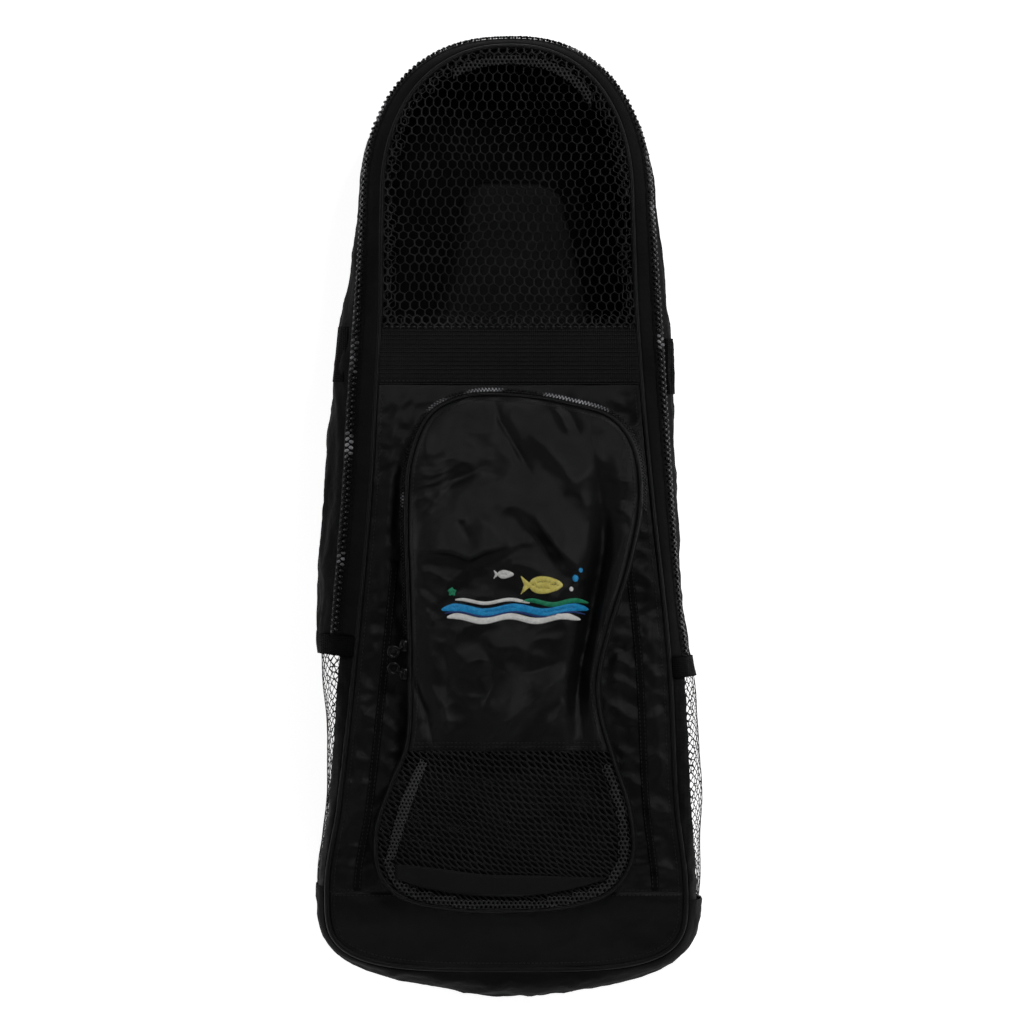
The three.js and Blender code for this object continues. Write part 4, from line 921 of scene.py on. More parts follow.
# Rows of vertices crowd at the base seam
ABOVE_SEAM, BELOW_SEAM = np.array([0, 0.12, 0.7, 1.4, 2.2]), np.array([2.2, 1.5, 0.8, 0.2, 0.08])
panel_rows = np.concatenate([BASE_SEAM + ABOVE_SEAM, even(BASE_SEAM + 3, BAND_BOTTOM, 1.8)])
make("front_nylon", grid_sheet(front_place, 131, panel_rows, CLOTH_THICK), nylon, "front_panel")
base_rows = np.concatenate([crowded(1.3 - HALF_LENGTH, BASE_SEAM - 3, 38, "base"),
                            BASE_SEAM - BELOW_SEAM])
make("front_base_cloth", grid_sheet(front_place, 110, base_rows, CLOTH_THICK), nylon, "front_base")


def band_place(u, v):
    p = front_place(u, v)
    edge = np.minimum(v - BAND_BOTTOM, BAND_TOP - v)
    p[..., 2] += 1.1 * smooth(edge, -0.5, 1.2) + 0.5 * noise(p[..., 0] / 24, v / 30, 46)
    return p


band = make("cross_band", grid_sheet(band_place, 90, even(BAND_BOTTOM - 0.6, BAND_TOP + 0.6, 1.2),
                                     1.5), webbing, "front_band")


def rim_tube(loop, height, radius, step):
    """A round body along a loop, its middle at height(points)."""
    count = round(loop.length / step)
    place, out = loop.read(np.arange(count) / count)
    side = np.column_stack([out, np.zeros(count)])
    return tube(np.column_stack([place, height(place)]), side, radius, closed=True)


make("front_piping_cord", rim_tube(RIM, lambda p: seam_height(p[:, 1]), PIPING, 2.5),
     piping_cloth, "front_piping")

# The flat strips over the front panel's vertical seams: how far in, how high, and their section
STRIP_INSET = 18.6
STRIP_TOP = -40.3
STRIP_ACROSS = np.array([0, 0.4, 2.0, 4.0, 5.6, 6.0])
STRIP_RISE = np.array([0, 0.7, 0.9, 0.9, 0.7, 0])


def strip_rings(side):
    ys = even(BASE_SEAM + 1, STRIP_TOP, 3.0)
    low, high = FRONT_EDGE.spans(ys)
    rings = []
    for y, x in zip(ys, high - STRIP_INSET if side > 0 else low + STRIP_INSET):
        xs, level = x - side * STRIP_ACROSS, np.full(6, y)
        z = front_height(xs, level)
        rings.append(np.vstack([np.column_stack([xs, level, z + STRIP_RISE]),
                                np.column_stack([xs, level, z - 0.3])[::-1]]))
    return rings


for side, word in SIDES.items():
    make(f"seam_tape_{word}", loft(strip_rings(side)), tape, f"seam_strip_{word}")

# Gusset: nylon, zip tape and teeth, bands, hems, side nets and base
hem_top = {s: around_at(HEM_BOTTOM[s] + HEM, s) for s in SIDES}
hem_bottom = {s: around_at(HEM_BOTTOM[s], s) for s in SIDES}
mesh_bottom = {s: around_at(MESH_BOTTOM[s], s) for s in SIDES}
SEAM_ROOM = 1.5


def arc(start, stop, step):
    return even(start, stop, 4 * step / RIM.length)


def between_seams(u, v):
    """The distance from the front seam at a share v from seam to seam, and the whole way."""
    length = length_at(u)
    return SEAM_ROOM + v * (length - 2 * SEAM_ROOM), length


def gusset_cloth(u, v):
    distance, _ = between_seams(u, v)
    return gusset_at(u, distance, crinkled(u, distance))


make("gusset_nylon", grid_sheet(gusset_cloth, arc(hem_top[1], hem_top[-1], 3.0),
                                np.linspace(0, 1, 48), CLOTH_THICK), side_nylon_painted_light, "gusset")


def strip_on_gusset(start, stop, begin, width, thick, lift, step=2.5, rows=7, wave=0.0,
                    on_nylon=False):
    """A strip along the gusset that begins at a distance from the front seam."""
    def place(u, v):
        across = np.minimum(v, width - v)
        rise = lift + thick * smooth(across, 0, 0.8)
        if on_nylon:
            rise = rise + crinkled(u, begin + v)
        ripple = wave * noise(u * RIM.length / 4 / 9, v / 9, 51)
        return gusset_at(u, begin + v, rise + ripple)
    return grid_sheet(place, arc(start, stop, step), np.linspace(0, width, rows), thick)


make("zip_tape_knit", strip_on_gusset(hem_top[1], hem_top[-1], TAPE_START, TAPE_WIDTH, 0.8,
                                      TAPE_LIFT - 0.3, wave=0.3), tape, "zip_tape")


def zip_line(start, stop, across, lift):
    u = arc(start, stop, 1.2)
    p, q = (gusset_at(u, np.full(len(u), across), np.full(len(u), lift + k)) for k in (0, 1))
    return p, q - p


TILT, LEAN = 0.14, 0.16


def teeth(line, pitch, size, offset, seed):
    """Two rows of coil teeth that mesh along a line, each tooth size = (long, wide, high)."""
    rng = np.random.default_rng(seed)
    parts = []
    for row, sign in ((0, -1), (1, 1)):
        places, ahead, normal = along_line(*line, pitch, start=row * pitch / 2)
        across = np.cross(normal, ahead)
        tilt = rng.normal(0, TILT, (len(places), 1))
        places = places + sign * offset * across
        lean = rng.normal(0, LEAN, (len(places), 1))
        normal = unit(normal + lean * across)
        along = unit(across + 0.25 * sign * ahead + tilt * ahead)
        along = unit(along - (along * normal).sum(1, keepdims=True) * normal)
        parts.append(scatter(places, along, normal, size))
    return join(parts)


CHAIN_AT = TAPE_START + TAPE_WIDTH / 2
make("zip_teeth", teeth(zip_line(hem_top[1], hem_top[-1], CHAIN_AT, TAPE_LIFT + 1.5), 4.4,
                        (4.2, 2.7, 2.1), 1.9, 52), coil, "zip_chain")
NET_WALL = 110.0
BAND_START, BAND_END = 26.0, 6.0
for side, word in SIDES.items():
    top = around_at(SIDE_BAND_TOP[side], side)
    foot = around_at(SIDE_BAND_TOP[side] - SIDE_BAND, side)
    length = np.interp(top, AROUND_AT, LENGTHS)
    make(f"side_band_{word}_webbing", strip_on_gusset(
        foot, top, BAND_START, length - BAND_START - BAND_END, 0.8, 0.5, 2.0, 30, on_nylon=True),
        side_tape, f"side_band_{word}")
    ends = sorted([hem_bottom[side], hem_top[side]])
    length = np.interp(hem_top[side], AROUND_AT, LENGTHS)
    make(f"side_hem_{word}_webbing", strip_on_gusset(
        *ends, SEAM_ROOM, length - 2 * SEAM_ROOM, 1.4, 0.0, 2.0, 40, 0.6),
        side_tape, f"side_hem_{word}")
    ends = sorted([mesh_bottom[side], hem_bottom[side]])
    span = (ends[1] - ends[0]) * RIM.length / 4
    high = NET_WALL - SEAM_ROOM

    def side_place(u, v, lift, start=ends[0]):
        calm = smooth(v, 0, 20) * smooth(NET_WALL - v, 0, 20)
        return gusset(start + 4 * u / RIM.length, v / NET_WALL,
                      lift + 1.5 * noise(u / 40, v / 40, 55) * calm)

    make(f"side_net_{word}", net(
        side_place, [(0, SEAM_ROOM), (span, SEAM_ROOM), (span, high), (0, high)], 5.4, 16.0,
        (0.86, 0.93), 0.45, 56, turn=0.56), dark_net, f"side_mesh_{word}")
    make(f"side_net_edge_{word}", strip_on_gusset(*ends, 1.0, 12.0, 1.0, 0.3, 2.0, 14, 0.7),
         tape)


def base_cloth(u, v):
    distance, length = between_seams(u, v)
    along = u * RIM.length / 4
    calm = smooth(distance, 0, 12) * smooth(length - distance, 0, 12)
    return gusset_at(u, distance, calm * folds(along, distance, BASE_FOLDS) + 0.5)


make("base_gusset_nylon", grid_sheet(base_cloth, arc(mesh_bottom[-1], mesh_bottom[1] + 4, 3.0),
                                     np.linspace(0, 1, 44), CLOTH_THICK), side_nylon_painted_light, "base_gusset")


# Pocket
def pocket_place(u, v):
    x = POCKET_EDGE.across(u, v)
    return np.stack([x, v, pocket_height(x, v)], -1)


CLOSING = 60
pocket_top = POCKET_EDGE.points[:, 1].max()
pocket_rows = np.concatenate([even(POCKET_SEAM - 0.5, CLOSING, 1.3)[:-1],
                              crowded(CLOSING, pocket_top - 0.3, 28, "top")])
make("pocket_nylon_front", grid_sheet(pocket_place, 112, pocket_rows, CLOTH_THICK),
     pocket_nylon, "pocket_front")


def stretch_of(line, keep):
    """The points of a closed line that keep marks, in order."""
    first = 0 if keep.all() else int(np.argmax(keep & ~np.roll(keep, 1)))
    return np.roll(line, -first, 0)[: keep.sum()]


pocket_line = POCKET.moved(-0.8).points
net_line = stretch_of(pocket_line, pocket_line[:, 1] < POCKET_SEAM + 1.0)
make("pocket_net", net(lifted(pocket_height, 0.0), net_line, 8.4, 3.0, (0.84, 0.52), 0.7, 71,
                       turn=-0.72, stray=2.0), fine_net, "pocket_mesh")
raised = lifted(pocket_height, 1.0, 0.9)
# The dotted border runs along the right and the foot of the net, the tape down its left, whose
# corners are pixels of the photograph
BORDER_SHARE, BORDER_SHIFT = 0.965, 0.8
BORDER_TOP, BORDER_FOOT = POCKET_SEAM - 9, -262
TAPE_CORNERS = [(401, 798), (392, 832), (386, 858), (395, 858), (403, 832), (413, 800), (428, 761),
                (421, 756)]
border_line = np.stack([net_line[:, 0] * BORDER_SHARE + BORDER_SHIFT, net_line[:, 1]], 1)
foot_or_right = lambda u, v: (v < BORDER_TOP) & ((u > 0) | (v < BORDER_FOOT))
make("pocket_net_border", net(raised, border_line, 3.4, 3.2, (0.5, 0.5), 0.8, 73, band=6.5,
                              shift=(2, 3), only=foot_or_right), net_tape)
make("pocket_net_tape", net(raised, [spot(*p) for p in TAPE_CORNERS], 2.9, 2.7, (0.42, 0.42), 0.8,
                            74), pale_tape)
make("pocket_piping_cord", rim_tube(POCKET, lambda p: pocket_seam(p[:, 0], p[:, 1]), POCKET_PIPING,
                                    2.0), piping_cloth, "pocket_piping")

# The pocket's wall: its section as (bulge, share of the way down), and the slack cloth at the top
WALL_SECTION = [(0.0, 0.02), (0.35, 0.12), (0.8, 0.3), (1.0, 0.5), (1.0, 0.7), (1.15, 0.88),
                (1.3, 1.0)]
WALL_COUNT = 420
SLACK_AT, SLACK_OVER, SLACK = 0.425, 0.05, 5.0


def wall_rings():
    share = np.arange(WALL_COUNT) / WALL_COUNT
    place, out = POCKET.read(share)
    seam = pocket_seam(*place.T)
    floor = front_height(*(place + out * 3.2).T) - 0.6
    rings = []
    ripple = noise(np.arange(WALL_COUNT) / 7.0, np.zeros(WALL_COUNT), 81)
    slack = SLACK * np.exp(-(((share - SLACK_AT) / SLACK_OVER) ** 2))
    for side, section in enumerate((WALL_SECTION, WALL_SECTION[::-1])):
        for bulge, down in section:
            shift = 2.4 * bulge + (0.6 * ripple + slack * (1 - down**4)) * down - 0.8 * side
            rings.append(np.column_stack([place + out * shift[:, None],
                                          seam + (floor - seam) * down]))
    return np.stack(rings, 1)


make("pocket_wall_nylon", loft(wall_rings(), closed=True), nylon, "pocket_wall")

POCKET_ZIP = (0.36, 0.729)


def wall_line(start, stop, down, lift):
    share = np.linspace(start, stop, round(abs(stop - start) * POCKET.length))
    place, out = POCKET.read(share)
    p = np.column_stack([place + out * (1.9 + lift), pocket_seam(*place.T) - down])
    return p, unit(np.column_stack([out * 0.8, np.full(len(out), 0.6)]))


make("pocket_zip_teeth", teeth(wall_line(*POCKET_ZIP, 2.0, 1.6), 2.5, (2.6, 1.5, 1.4), 1.1, 82),
     coil, "pocket_zip_chain")

# Sliders and ring pulls at the left end of the pocket's zip: share round the pocket, turn of the
# pull, and sizes
SLIDERS = [(0.735, 0.5), (0.755, -0.5)]
SLIDER_LONG, SLIDER_WIDE, SLIDER_HIGH = 4.6, 3.4, 1.9
SLIDER_ROUND = 0.6
RING_AT, RING_RADIUS, RING_THICK = 9.0, 3.7, 1.05
NECK = ((1.0, 3.0), (2.4, 3.0), (4.0, 2.4), (5.2, 2.0))
up3 = np.array([0.0, 0.0, 1.0])


def rounded(angle, power):
    """Cosine and sine of an angle, drawn towards a square by a power below 1."""
    return [np.sign(t) * np.abs(t) ** power for t in (np.cos(angle), np.sin(angle))]


for number, (share, turn) in enumerate(SLIDERS, 1):
    place, out = POCKET.read(np.array(share))
    seam = float(pocket_seam(place[0], place[1]))
    out3, ahead3 = np.array([*out, 0.0]), np.array([-out[1], out[0], 0.0])
    centre = np.array([*(place + out * 4.4), seam - 1.6])
    c, d = rounded(2 * np.pi * np.arange(14) / 14, SLIDER_ROUND)
    rings = []
    for t in np.linspace(-1, 1, 15):
        half = SLIDER_WIDE * math.sqrt(max(1 - 0.55 * t * t, 0.05)) * (1 - 0.25 * abs(t) ** 3)
        high = SLIDER_HIGH * math.sqrt(max(1 - t**4, 0.02))
        rings.append(centre + SLIDER_LONG * t * ahead3 + c[:, None] * half * out3
                     + d[:, None] * high * up3)
    bridge = (centre + np.outer(np.linspace(-2.6, 2.6, 13), ahead3)
              + np.outer(1.9 + 1.3 * np.cos(np.linspace(-1.2, 1.2, 13)), up3))
    make(f"slider_{number}", join([loft(rings), tube(bridge, np.tile(out3, (13, 1)), 0.6, 8)]),
         painted, f"pocket_slider_{number}")
    angle = math.atan2(out[1], out[0]) + turn
    lean = np.array([math.cos(angle), math.sin(angle), 0.0])
    across = np.array([-lean[1], lean[0], 0.0])
    circle = 2 * np.pi * np.arange(40) / 40
    c, d = np.outer(np.cos(circle), lean), np.outer(np.sin(circle), across)
    ring = centre + lean * RING_AT + up3 * 1.6 + c * RING_RADIUS + d * RING_RADIUS
    ring[:, 2] += 0.5 * np.cos(circle)
    neck = np.array([centre + lean * far + up3 * z for far, z in NECK])
    make(f"ring_pull_{number}", join([
        tube(ring, c + d, RING_THICK, closed=True),
        tube(neck, np.tile(across, (4, 1)), [0.7, 0.9, 1.1, 1.2])]),
        painted, f"pocket_pull_{number}")

# The crescent of cloth along the foot of the pocket's net: its left end and length, and the
# heights of its top and foot at the left, with their falls
CRESCENT_LEFT, CRESCENT_LONG = -86.5, 157.8
CRESCENT_TOP, CRESCENT_FALLS = -267.4, (7.5, 2.0)
CRESCENT_FOOT, CRESCENT_BELLY, CRESCENT_POWER = -277.6, 13.4, 2.2


def foot_strip(u, v):
    x = CRESCENT_LEFT + CRESCENT_LONG * u
    top = (CRESCENT_TOP - CRESCENT_FALLS[0] * smooth(u, 0, 0.5)
           - CRESCENT_FALLS[1] * smooth(u, 0.5, 1))
    foot = CRESCENT_FOOT - CRESCENT_BELLY * (1 - np.abs(2 * u - 1) ** CRESCENT_POWER)
    y = top + (foot - top) * v
    return np.stack([x, y, pocket_height(x, y) + 1.7 + 0.4 * noise(x / 22, y / 22, 84)], -1)


make("pocket_foot_strip", grid_sheet(foot_strip, 70, np.linspace(0, 1, 9), CLOTH_THICK),
     strip_cloth, "pocket_strip")


# Stitching
def offset_line(loop, distance, low, high, height):
    line = loop.points + loop.out * distance
    line = stretch_of(line, (line[:, 1] > low) & (line[:, 1] < high))
    return surface_line(height, line[:, 0], line[:, 1])


def level_line(y, inset, height, edge):
    low, high = edge.spans(np.array([y]))
    xs = np.arange(low[0] + inset, high[0] - inset, 2.0)
    return surface_line(height, xs, np.full(len(xs), y))


band_height = lambda x, y: front_height(x, y) + 1.3
BAND_STITCH = (2.6, 4.2, 0.8)
END = 400
EDGE_STITCHES = -5.2
POCKET_STITCHES = -4.6
STRIP_STITCHES = (19.8, 23.4)
front_lines = [
    offset_line(RIM, EDGE_STITCHES, -END, BAND_BOTTOM - 2, front_height),
    offset_line(RIM, EDGE_STITCHES, BAND_TOP + 2, END, front_height),
    level_line(BASE_SEAM - 2.5, 4, front_height, FRONT_EDGE),
    level_line(BASE_SEAM + 1.5, 4, front_height, FRONT_EDGE),
    level_line(BAND_BOTTOM + 2.5, 2, band_height, FRONT_EDGE),
]
band_lines = [level_line(BAND_TOP - 0.6, 2, band_height, FRONT_EDGE)]
make("band_stitches", stitched(band_lines, BAND_STITCH), light_thread)
for side in SIDES:
    for inset in STRIP_STITCHES:
        ys = np.arange(BASE_SEAM + 3, -42, 2.0)
        low, high = FRONT_EDGE.spans(ys)
        xs = high - inset if side > 0 else low + inset
        front_lines.append(surface_line(front_height, xs, ys, 0.95))
make("front_stitches", stitched(front_lines), thread)
pocket_lines = [
    offset_line(POCKET, POCKET_STITCHES, POCKET_SEAM + 2, END, pocket_height),
    level_line(POCKET_SEAM + 3.0, 3, pocket_height, POCKET_EDGE),
    level_line(POCKET_SEAM + 6.0, 3, pocket_height, POCKET_EDGE),
]
make("pocket_stitches", stitched(pocket_lines), thread)

# Back: padded panel, piping, inner pad, haul loop, straps
foot_out = foot_at(4 * np.arange(RIM.count) / RIM.count) * DEPTH
BACK_LINE = Loop(RIM.points + RIM.out * foot_out[:, None])
BACK_EDGE = BACK_LINE.moved(-1.6)
back_low, back_high = BACK_EDGE.points[:, 1].min(), BACK_EDGE.points[:, 1].max()
BACK_LIFT = 7.7


def back_under(x, y):
    """Underside of the back panel, which its middle holds off the floor."""
    low, high = BACK_EDGE.spans(np.clip(y, back_low + 2, back_high - 2))
    across = np.abs(2 * (x - low) / (high - low) - 1)
    along = np.abs(2 * (y - back_low) / (back_high - back_low) - 1)
    return 0.6 + (1 - smooth(across, 0.8, 1)) * (1 - smooth(along, 0.8, 1)) * BACK_LIFT


def back_place(u, v):
    x = BACK_EDGE.across(u, v)
    quilt = 0.8 * noise(x / 40, v / 40, 91) + 0.3 * ridges(x, v, 16, 92)
    calm = smooth(np.minimum(u, 1 - u), 0, 0.1)
    return np.stack([x, v, back_under(x, v) + 3.0 + quilt * calm], -1)


rows, columns = ((1 - np.cos(np.linspace(0, 1, count) * np.pi)) / 2 for count in (150, 60))
back_rows = back_low + 0.4 + (back_high - back_low - 0.8) * rows
back_panel = make("back_panel_padded", grid_sheet(back_place, columns, back_rows, 2.6),
                  back_cloth, "back_panel")
make("back_piping_cord", rim_tube(BACK_LINE, lambda p: np.full(len(p), PIPING + 0.05), PIPING, 3.0),
     piping_cloth, "back_piping")

VOXEL = 0.004
PRESSURE = 4.0
CLOTH_FRAMES = 20


def coordinates(mesh):
    flat = np.empty(len(mesh.vertices) * 3, np.float32)
    mesh.vertices.foreach_get("co", flat)
    return flat.reshape(-1, 3)


def puffed(name, body, replaced, cap, floor=None):
    """A closed pad swollen by Cloth, with its motion capped in millimetres."""
    piece = make(name, body, padding, replaced)
    bpy.context.view_layer.objects.active = piece
    remesh = piece.modifiers.new("remesh", "REMESH")
    remesh.mode = "VOXEL"
    remesh.voxel_size = VOXEL
    ease = piece.modifiers.new("ease", "SMOOTH")
    ease.factor = 0.5
    ease.iterations = 8
    for modifier in (remesh, ease):
        bpy.ops.object.modifier_apply(modifier=modifier.name)
    before = coordinates(piece.data)
    after = before.copy()
    cloth = piece.modifiers.new("puff", "CLOTH")
    cloth.settings.use_pressure = True
    cloth.settings.uniform_pressure_force = PRESSURE
    cloth.settings.effector_weights.gravity = 0
    cloth.settings.quality = 4
    scene = bpy.context.scene
    for number in range(1, CLOTH_FRAMES + 1):
        scene.frame_set(number)
    solved = piece.evaluated_get(bpy.context.evaluated_depsgraph_get())
    after = coordinates(solved.data)
    piece.modifiers.remove(cloth)
    scene.frame_set(1)
    move = after - before
    far = np.linalg.norm(move, axis=1, keepdims=True)
    after = before + move * np.minimum(1, cap / 1000 / np.maximum(far, 1e-9))
    if floor is not None:
        after[:, 2] = np.maximum(after[:, 2], floor / 1000)
    piece.data.vertices.foreach_set("co", after.astype(np.float32).ravel())
    piece.data.update()
    piece.data.shade_smooth()
    smoother = piece.modifiers.new("smooth", "SUBSURF")
    smoother.levels = smoother.render_levels = 1
    bpy.ops.object.modifier_apply(modifier=smoother.name)


PAD_LOW, PAD_HIGH = -296, 251
PAD_TOP_HALF, PAD_SPREAD, PAD_CORNER = 39, 0.25, 14


def inner_pad():
    """The pad inside the back, seen through the window: a trapezoid with round corners."""
    outer, inner = [], []
    for y in even(PAD_LOW, PAD_HIGH, 8.0):
        low, high = BACK_EDGE.spans(np.array([y]))
        room = min(-low[0], high[0]) - 34
        near = min((y - PAD_LOW) / 30, (PAD_HIGH - y) / 14, 1)
        half = (min(PAD_TOP_HALF + PAD_SPREAD * (PAD_HIGH - y), room)
                - PAD_CORNER * (1 - math.sqrt(1 - (1 - near) ** 2)))
        x, level = np.linspace(-half, half, 24), np.full(24, y)
        z = back_under(x, level) + 3.3
        edge = smooth(half - np.abs(x), 0, 6) * 3.4
        outer.append(np.column_stack([x, level, z + 0.4 + edge]))
        inner.append(np.column_stack([x, level, z]))
    return skins(np.array(outer), np.array(inner))


puffed("inner_back_pad", inner_pad(), "back_pad", 2.5)

# Straps: routes in shares of the front, as in the CAD model, and sizes
STRAP_ROUTE = [(-0.24, 0.7), (-0.34, 0.5), (-0.38, 0.28), (-0.38, 0.05), (-0.38, -0.18)]
WEB_START = -0.1809
WEB_ROUTE = [(-0.38, WEB_START), (-0.38, -0.3), (-0.5, -0.54), (-0.8, -0.78)]
STRAP_HALF, STRAP_END_HALF, STRAP_THICK = 26, 17, 6.6
WEB_HALF, WEB_THICK, WEB_STEP_DOWN = 12.3, 1.7, 28


def open_curve(route, side, count):
    """A route in shares as even points, with the direction across it."""
    p = np.array(route) * (-side * HALF_WIDTH, HALF_LENGTH)
    p = np.vstack([2 * p[0] - p[1], p, 2 * p[-1] - p[-2]])
    line, _ = evenly(np.vstack([through(p, 30), p[-2:-1]]), count)
    along = unit(np.gradient(line, axis=0))
    return line, np.stack([along[:, 1], -along[:, 0]], 1)


def strap_rings(line, across, half, thick, base, power=3.0, sides=16):
    c, d = rounded(2 * np.pi * (np.arange(sides) + 0.5) / sides, 2 / power)
    return [np.column_stack([p + np.outer(c * h, a), b + t / 2 + d * t / 2])
            for p, a, h, t, b in zip(line, across, half, thick, base)]


for side, word in SIDES.items():
    line, across = open_curve(STRAP_ROUTE, side, 60)
    share = np.linspace(0, 1, 60)
    end = np.minimum(np.minimum(share, 1 - share) * 22, 1)
    round_end = np.sqrt(np.clip(1 - (1 - end) ** 2, 0.02, 1))
    half = STRAP_HALF + (STRAP_END_HALF - STRAP_HALF) * smooth(share, 0.6, 1)
    rings = strap_rings(line, across, half * (0.6 + 0.4 * round_end) - 1, STRAP_THICK * round_end,
                        np.full(60, 0.7))
    puffed(f"strap_{word}_padded", loft(rings), f"strap_pad_{word}", 2.0, floor=0.2)
    line, across = open_curve(WEB_ROUTE, side, 90)
    past = (WEB_START * HALF_LENGTH - WEB_STEP_DOWN - line[:, 1]) / WEB_STEP_DOWN
    rings = strap_rings(line, across, np.full(90, WEB_HALF), np.full(90, WEB_THICK),
                        4.5 * (1 - smooth(past, 0, 1)) + 0.05, 6.0, 20)
    make(f"strap_{word}_webbing", loft(rings), webbing, f"strap_webbing_{word}")

HAUL_X = np.array([-12.3, -11.5, 0, 11.5, 12.3])
HAUL_RISE = np.array([0.6, 1, 1, 1, 0.6])
HAUL_ENDS = (322.0, 261.0)
HAUL_THICK = 3.5


def haul_rings():
    rings = []
    for y in np.linspace(*HAUL_ENDS, 30):
        top = min(HAUL_THICK, float(back_under(np.array([12.5]), np.array([y]))[0]) - 0.4)
        rings.append(np.vstack([
            np.column_stack([HAUL_X, np.full(5, y), 0.1 + (top - 0.1) * HAUL_RISE]),
            np.column_stack([HAUL_X, np.full(5, y), np.full(5, 0.05)])[::-1]]))
    return rings


make("haul_loop_webbing", loft(haul_rings()), webbing, "haul_loop")
for word in SIDES.values():
    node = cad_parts[f"strap_adjuster_{word}"]
    node.data.materials.clear()
    node.data.materials.append(plastic)


# Embroidered motif: waves, a plain fish, a starfish and bubbles
def fill(shape, angle, spacing=0.55, longest=6.0, seed=0):
    """Satin stitches that fill a closed outline in plan: start and end points."""
    rng = np.random.default_rng(seed)
    c, s = math.cos(angle), math.sin(angle)
    turned = np.asarray(shape, float) @ np.array([[c, -s], [s, c]])
    found = []
    for v in np.arange(turned[:, 1].min() + spacing / 2, turned[:, 1].max(), spacing):
        xs = np.sort(crossed(turned, v))
        for low, high in zip(xs[::2], xs[1::2]):
            cuts = max(1, math.ceil((high - low) / longest))
            marks = np.linspace(low, high, cuts + 1)
            marks[1:-1] += rng.uniform(-0.8, 0.8, cuts - 1)
            found += [((p, v), (q, v)) for p, q in zip(marks, marks[1:]) if q - p > 0.3]
    back = np.array(found).reshape(-1, 2) @ np.array([[c, s], [-s, c]])
    return back.reshape(-1, 2, 2)


THREAD_LIFT, THREAD_WIDE = 0.35, 0.8


def motif(colour, shapes):
    """Raised threads of one colour for several (outline, angle) shapes."""
    parts = []
    for number, (shape, angle) in enumerate(shapes):
        ends = fill(shape, angle, seed=number)
        (centre, normal), (tail, _), (tip, _) = (
            surface_line(pocket_height, at[:, 0], at[:, 1], THREAD_LIFT)
            for at in (ends.mean(1), ends[:, 0], ends[:, 1]))
        ahead = unit(tip - tail)
        normal = unit(normal - (normal * ahead).sum(1, keepdims=True) * ahead)
        long = np.linalg.norm(tip - tail, axis=1) + 0.4
        parts.append(scatter(centre, ahead, normal, (long, THREAD_WIDE, THREAD_WIDE)))
    material = surface(f"thread_{colour}", *EMBROIDERY[colour], 0.45, 0.0001, sheen=0.1,
                       patches=400.0)
    make(f"motif_{colour}", join(parts), material)


# Shapes by their places from the motif's middle
MIDDLE = (2.0, -69.0)


def wave_band(x0, x1, y0, high, thick, count, phase=0.0, taper=8.0):
    x0, x1, y0 = MIDDLE[0] + x0, MIDDLE[0] + x1, MIDDLE[1] + y0
    x = np.linspace(x0, x1, 90)
    near = np.clip(np.minimum(x - x0, x1 - x) / taper, 0, 1)
    y = y0 + high * np.sin(2 * np.pi * (x - x0) / (x1 - x0) * count + phase)
    half = thick / 2 * np.sqrt(near)
    return np.vstack([np.column_stack([x, y - half]), np.column_stack([x, y + half])[::-1]])


def disc(x, y, r, count=28):
    t = 2 * np.pi * np.arange(count) / count
    return np.column_stack([MIDDLE[0] + x + r * np.cos(t), MIDDLE[1] + y + r * np.sin(t)])


def star(x, y, r, inner, turn, points=5, per=8):
    t = 2 * np.pi * np.arange(points * per) / (points * per)
    radius = inner + (r - inner) * (0.5 + 0.5 * np.cos(points * t)) ** 1.4
    return np.column_stack([MIDDLE[0] + x + radius * np.cos(t + turn),
                            MIDDLE[1] + y + radius * np.sin(t + turn)])


def fish(x, y, size):
    """Outlines of a body and a tail."""
    t = np.linspace(0, 2 * np.pi, 40, endpoint=False)
    body = np.column_stack([np.cos(t), 0.52 * np.sin(t) * (1 - 0.25 * np.cos(t))])
    tail = np.array([(-0.8, 0.0), (-1.5, 0.55), (-1.32, 0.0), (-1.5, -0.55)])
    return [np.array([MIDDLE[0] + x, MIDDLE[1] + y]) + size * part for part in (body, tail)]


fish_body, fish_tail = fish(24, 11, 12.5)
little_body, little_tail = fish(-6, 19, 6.0)
motif("blue", [(wave_band(-54, 56, -7.5, 1.8, 6.0, 2.5), 1.5), (disc(46, 16, 2.4), 0.2),
               (disc(50, 22, 1.6), 0.2)])
motif("white", [(wave_band(-50, 50, -14.0, 1.8, 5.0, 2.5, 0.5), 1.5),
                (wave_band(-44, 12, -1.2, 1.4, 2.6, 1.5, 0.9), 1.5), (disc(43, 8, 1.6), 0.2),
                (little_body, 1.4), (little_tail, 0.4)])
motif("green", [(wave_band(6, 56, -2.0, 1.5, 3.6, 1.5, 0.4), 1.5),
                (star(-46, 6, 3.4, 2.4, 0.3), 0.6)])
motif("yellow", [(fish_body, 1.45), (fish_tail, 0.3)])
motif("navy", [(disc(31, 12.5, 1.2), 0.3),
               (wave_band(-52, 54, -10.8, 1.8, 1.4, 2.5, 0.2), 1.5)])
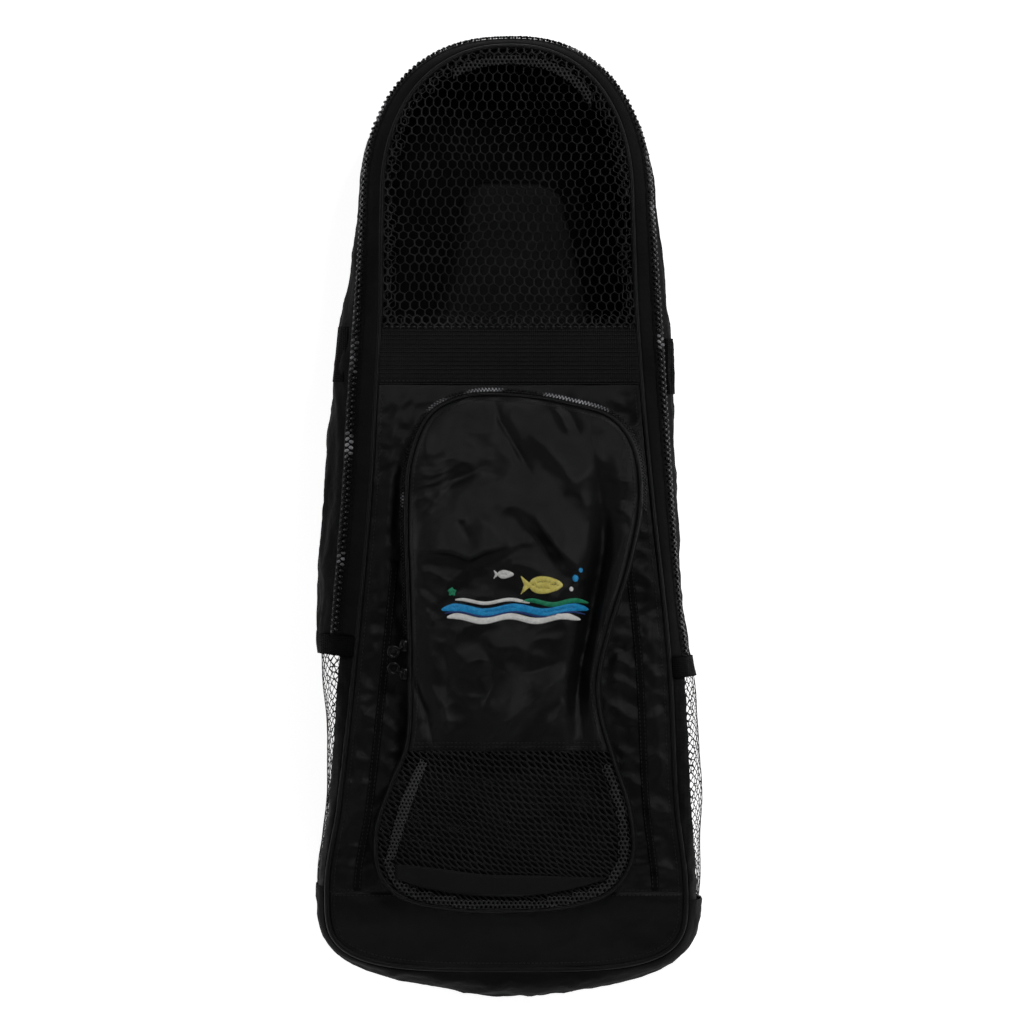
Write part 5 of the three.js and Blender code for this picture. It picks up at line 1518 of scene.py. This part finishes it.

# Every cloth passed to cloth_facts: the broad ones alone, the strips also with their length in
# metres. Narrow tapes and stitches are not passed.
BROAD = ["window_net", "front_nylon", "front_base_cloth", "side_net_left", "side_net_right",
         "pocket_nylon_front", "pocket_net"]
SIDE_BAND_LONG, SIDE_HEM_LONG = 0.065, 0.1
zip_length = (hem_top[-1] - hem_top[1]) * RIM.length / 4000
STRIPS = {
    "cross_band": band.dimensions.x, "gusset_nylon": zip_length, "zip_tape_knit": zip_length,
    "base_gusset_nylon": (mesh_bottom[1] + 4 - mesh_bottom[-1]) * RIM.length / 4000,
    "pocket_wall_nylon": POCKET.length / 1000, "pocket_foot_strip": 0.158,
    **{f"side_band_{word}_webbing": SIDE_BAND_LONG for word in SIDES.values()},
    **{f"side_hem_{word}_webbing": SIDE_HEM_LONG for word in SIDES.values()},
    **{f"side_net_edge_{word}": abs(mesh_bottom[s] - hem_bottom[s]) * RIM.length / 4000
       for s, word in SIDES.items()},
}
for name in [*BROAD, *STRIPS]:
    cloth_facts(pieces[name], STRIPS.get(name, 0.0))

# Floor, lights and camera
FLOOR_HALF = 6.0
floor_mesh = bpy.data.meshes.new("floor")
floor_mesh.from_pydata([(x * FLOOR_HALF, y * FLOOR_HALF, 0)
                        for x, y in ((-1, -1), (1, -1), (1, 1), (-1, 1))], [], [(0, 1, 2, 3)])
floor = bpy.data.objects.new("floor", floor_mesh)
white = bpy.data.materials.new("floor_white")
white.use_nodes = True
setup(white.node_tree.nodes["Principled BSDF"], Base_Color=(0.6, 0.6, 0.6, 1), Roughness=0.9,
      Emission_Color=(1, 1, 1, 1), Emission_Strength=0.9)
floor_mesh.materials.append(white)
bpy.context.collection.objects.link(floor)

world = bpy.data.worlds.new("studio")
bpy.context.scene.world = world
world.use_nodes = True
setup(world.node_tree.nodes["Background"], Color=(1, 1, 1, 1), Strength=0.06)

# Lamps: place, aim, size and power
LIGHTS = {
    "key": ((1.2, 2.0, 2.25), (0, 0, 0), (0.7, 0.7), 46),
    "left": ((-2.4, 0.5, 1.6), (0, 0, 0), (0.8, 1.2), 12),
    "foot": ((0.3, -2.6, 1.5), (0, -0.1, 0), (1.2, 0.7), 12),
    "right": ((2.6, 0.2, 1.5), (0, 0, 0), (0.8, 1.2), 9),
}
for name, (place, aim, size, power) in LIGHTS.items():
    data = bpy.data.lights.new(name, "AREA")
    data.shape = "RECTANGLE"
    data.size, data.size_y = size
    data.energy = power
    lamp = bpy.data.objects.new(name, data)
    lamp.location = place
    lamp.rotation_mode = "QUATERNION"
    lamp.rotation_quaternion = (Vector(aim) - Vector(place)).to_track_quat("-Z", "Y")
    bpy.context.collection.objects.link(lamp)

CAMERA_AT = (0.0018, 0.0024, 5.0)
SENSOR, LENS, CLIP_END = 36, 230, 50
camera_data = bpy.data.cameras.new("camera")
camera_data.sensor_width = SENSOR
camera_data.lens = LENS
camera_data.clip_end = CLIP_END
camera = bpy.data.objects.new("camera", camera_data)
camera.location = CAMERA_AT
camera.rotation_euler = (0, 0, 0)
bpy.context.collection.objects.link(camera)
bpy.context.scene.camera = camera
bpy.context.scene.view_settings.view_transform = "Standard"
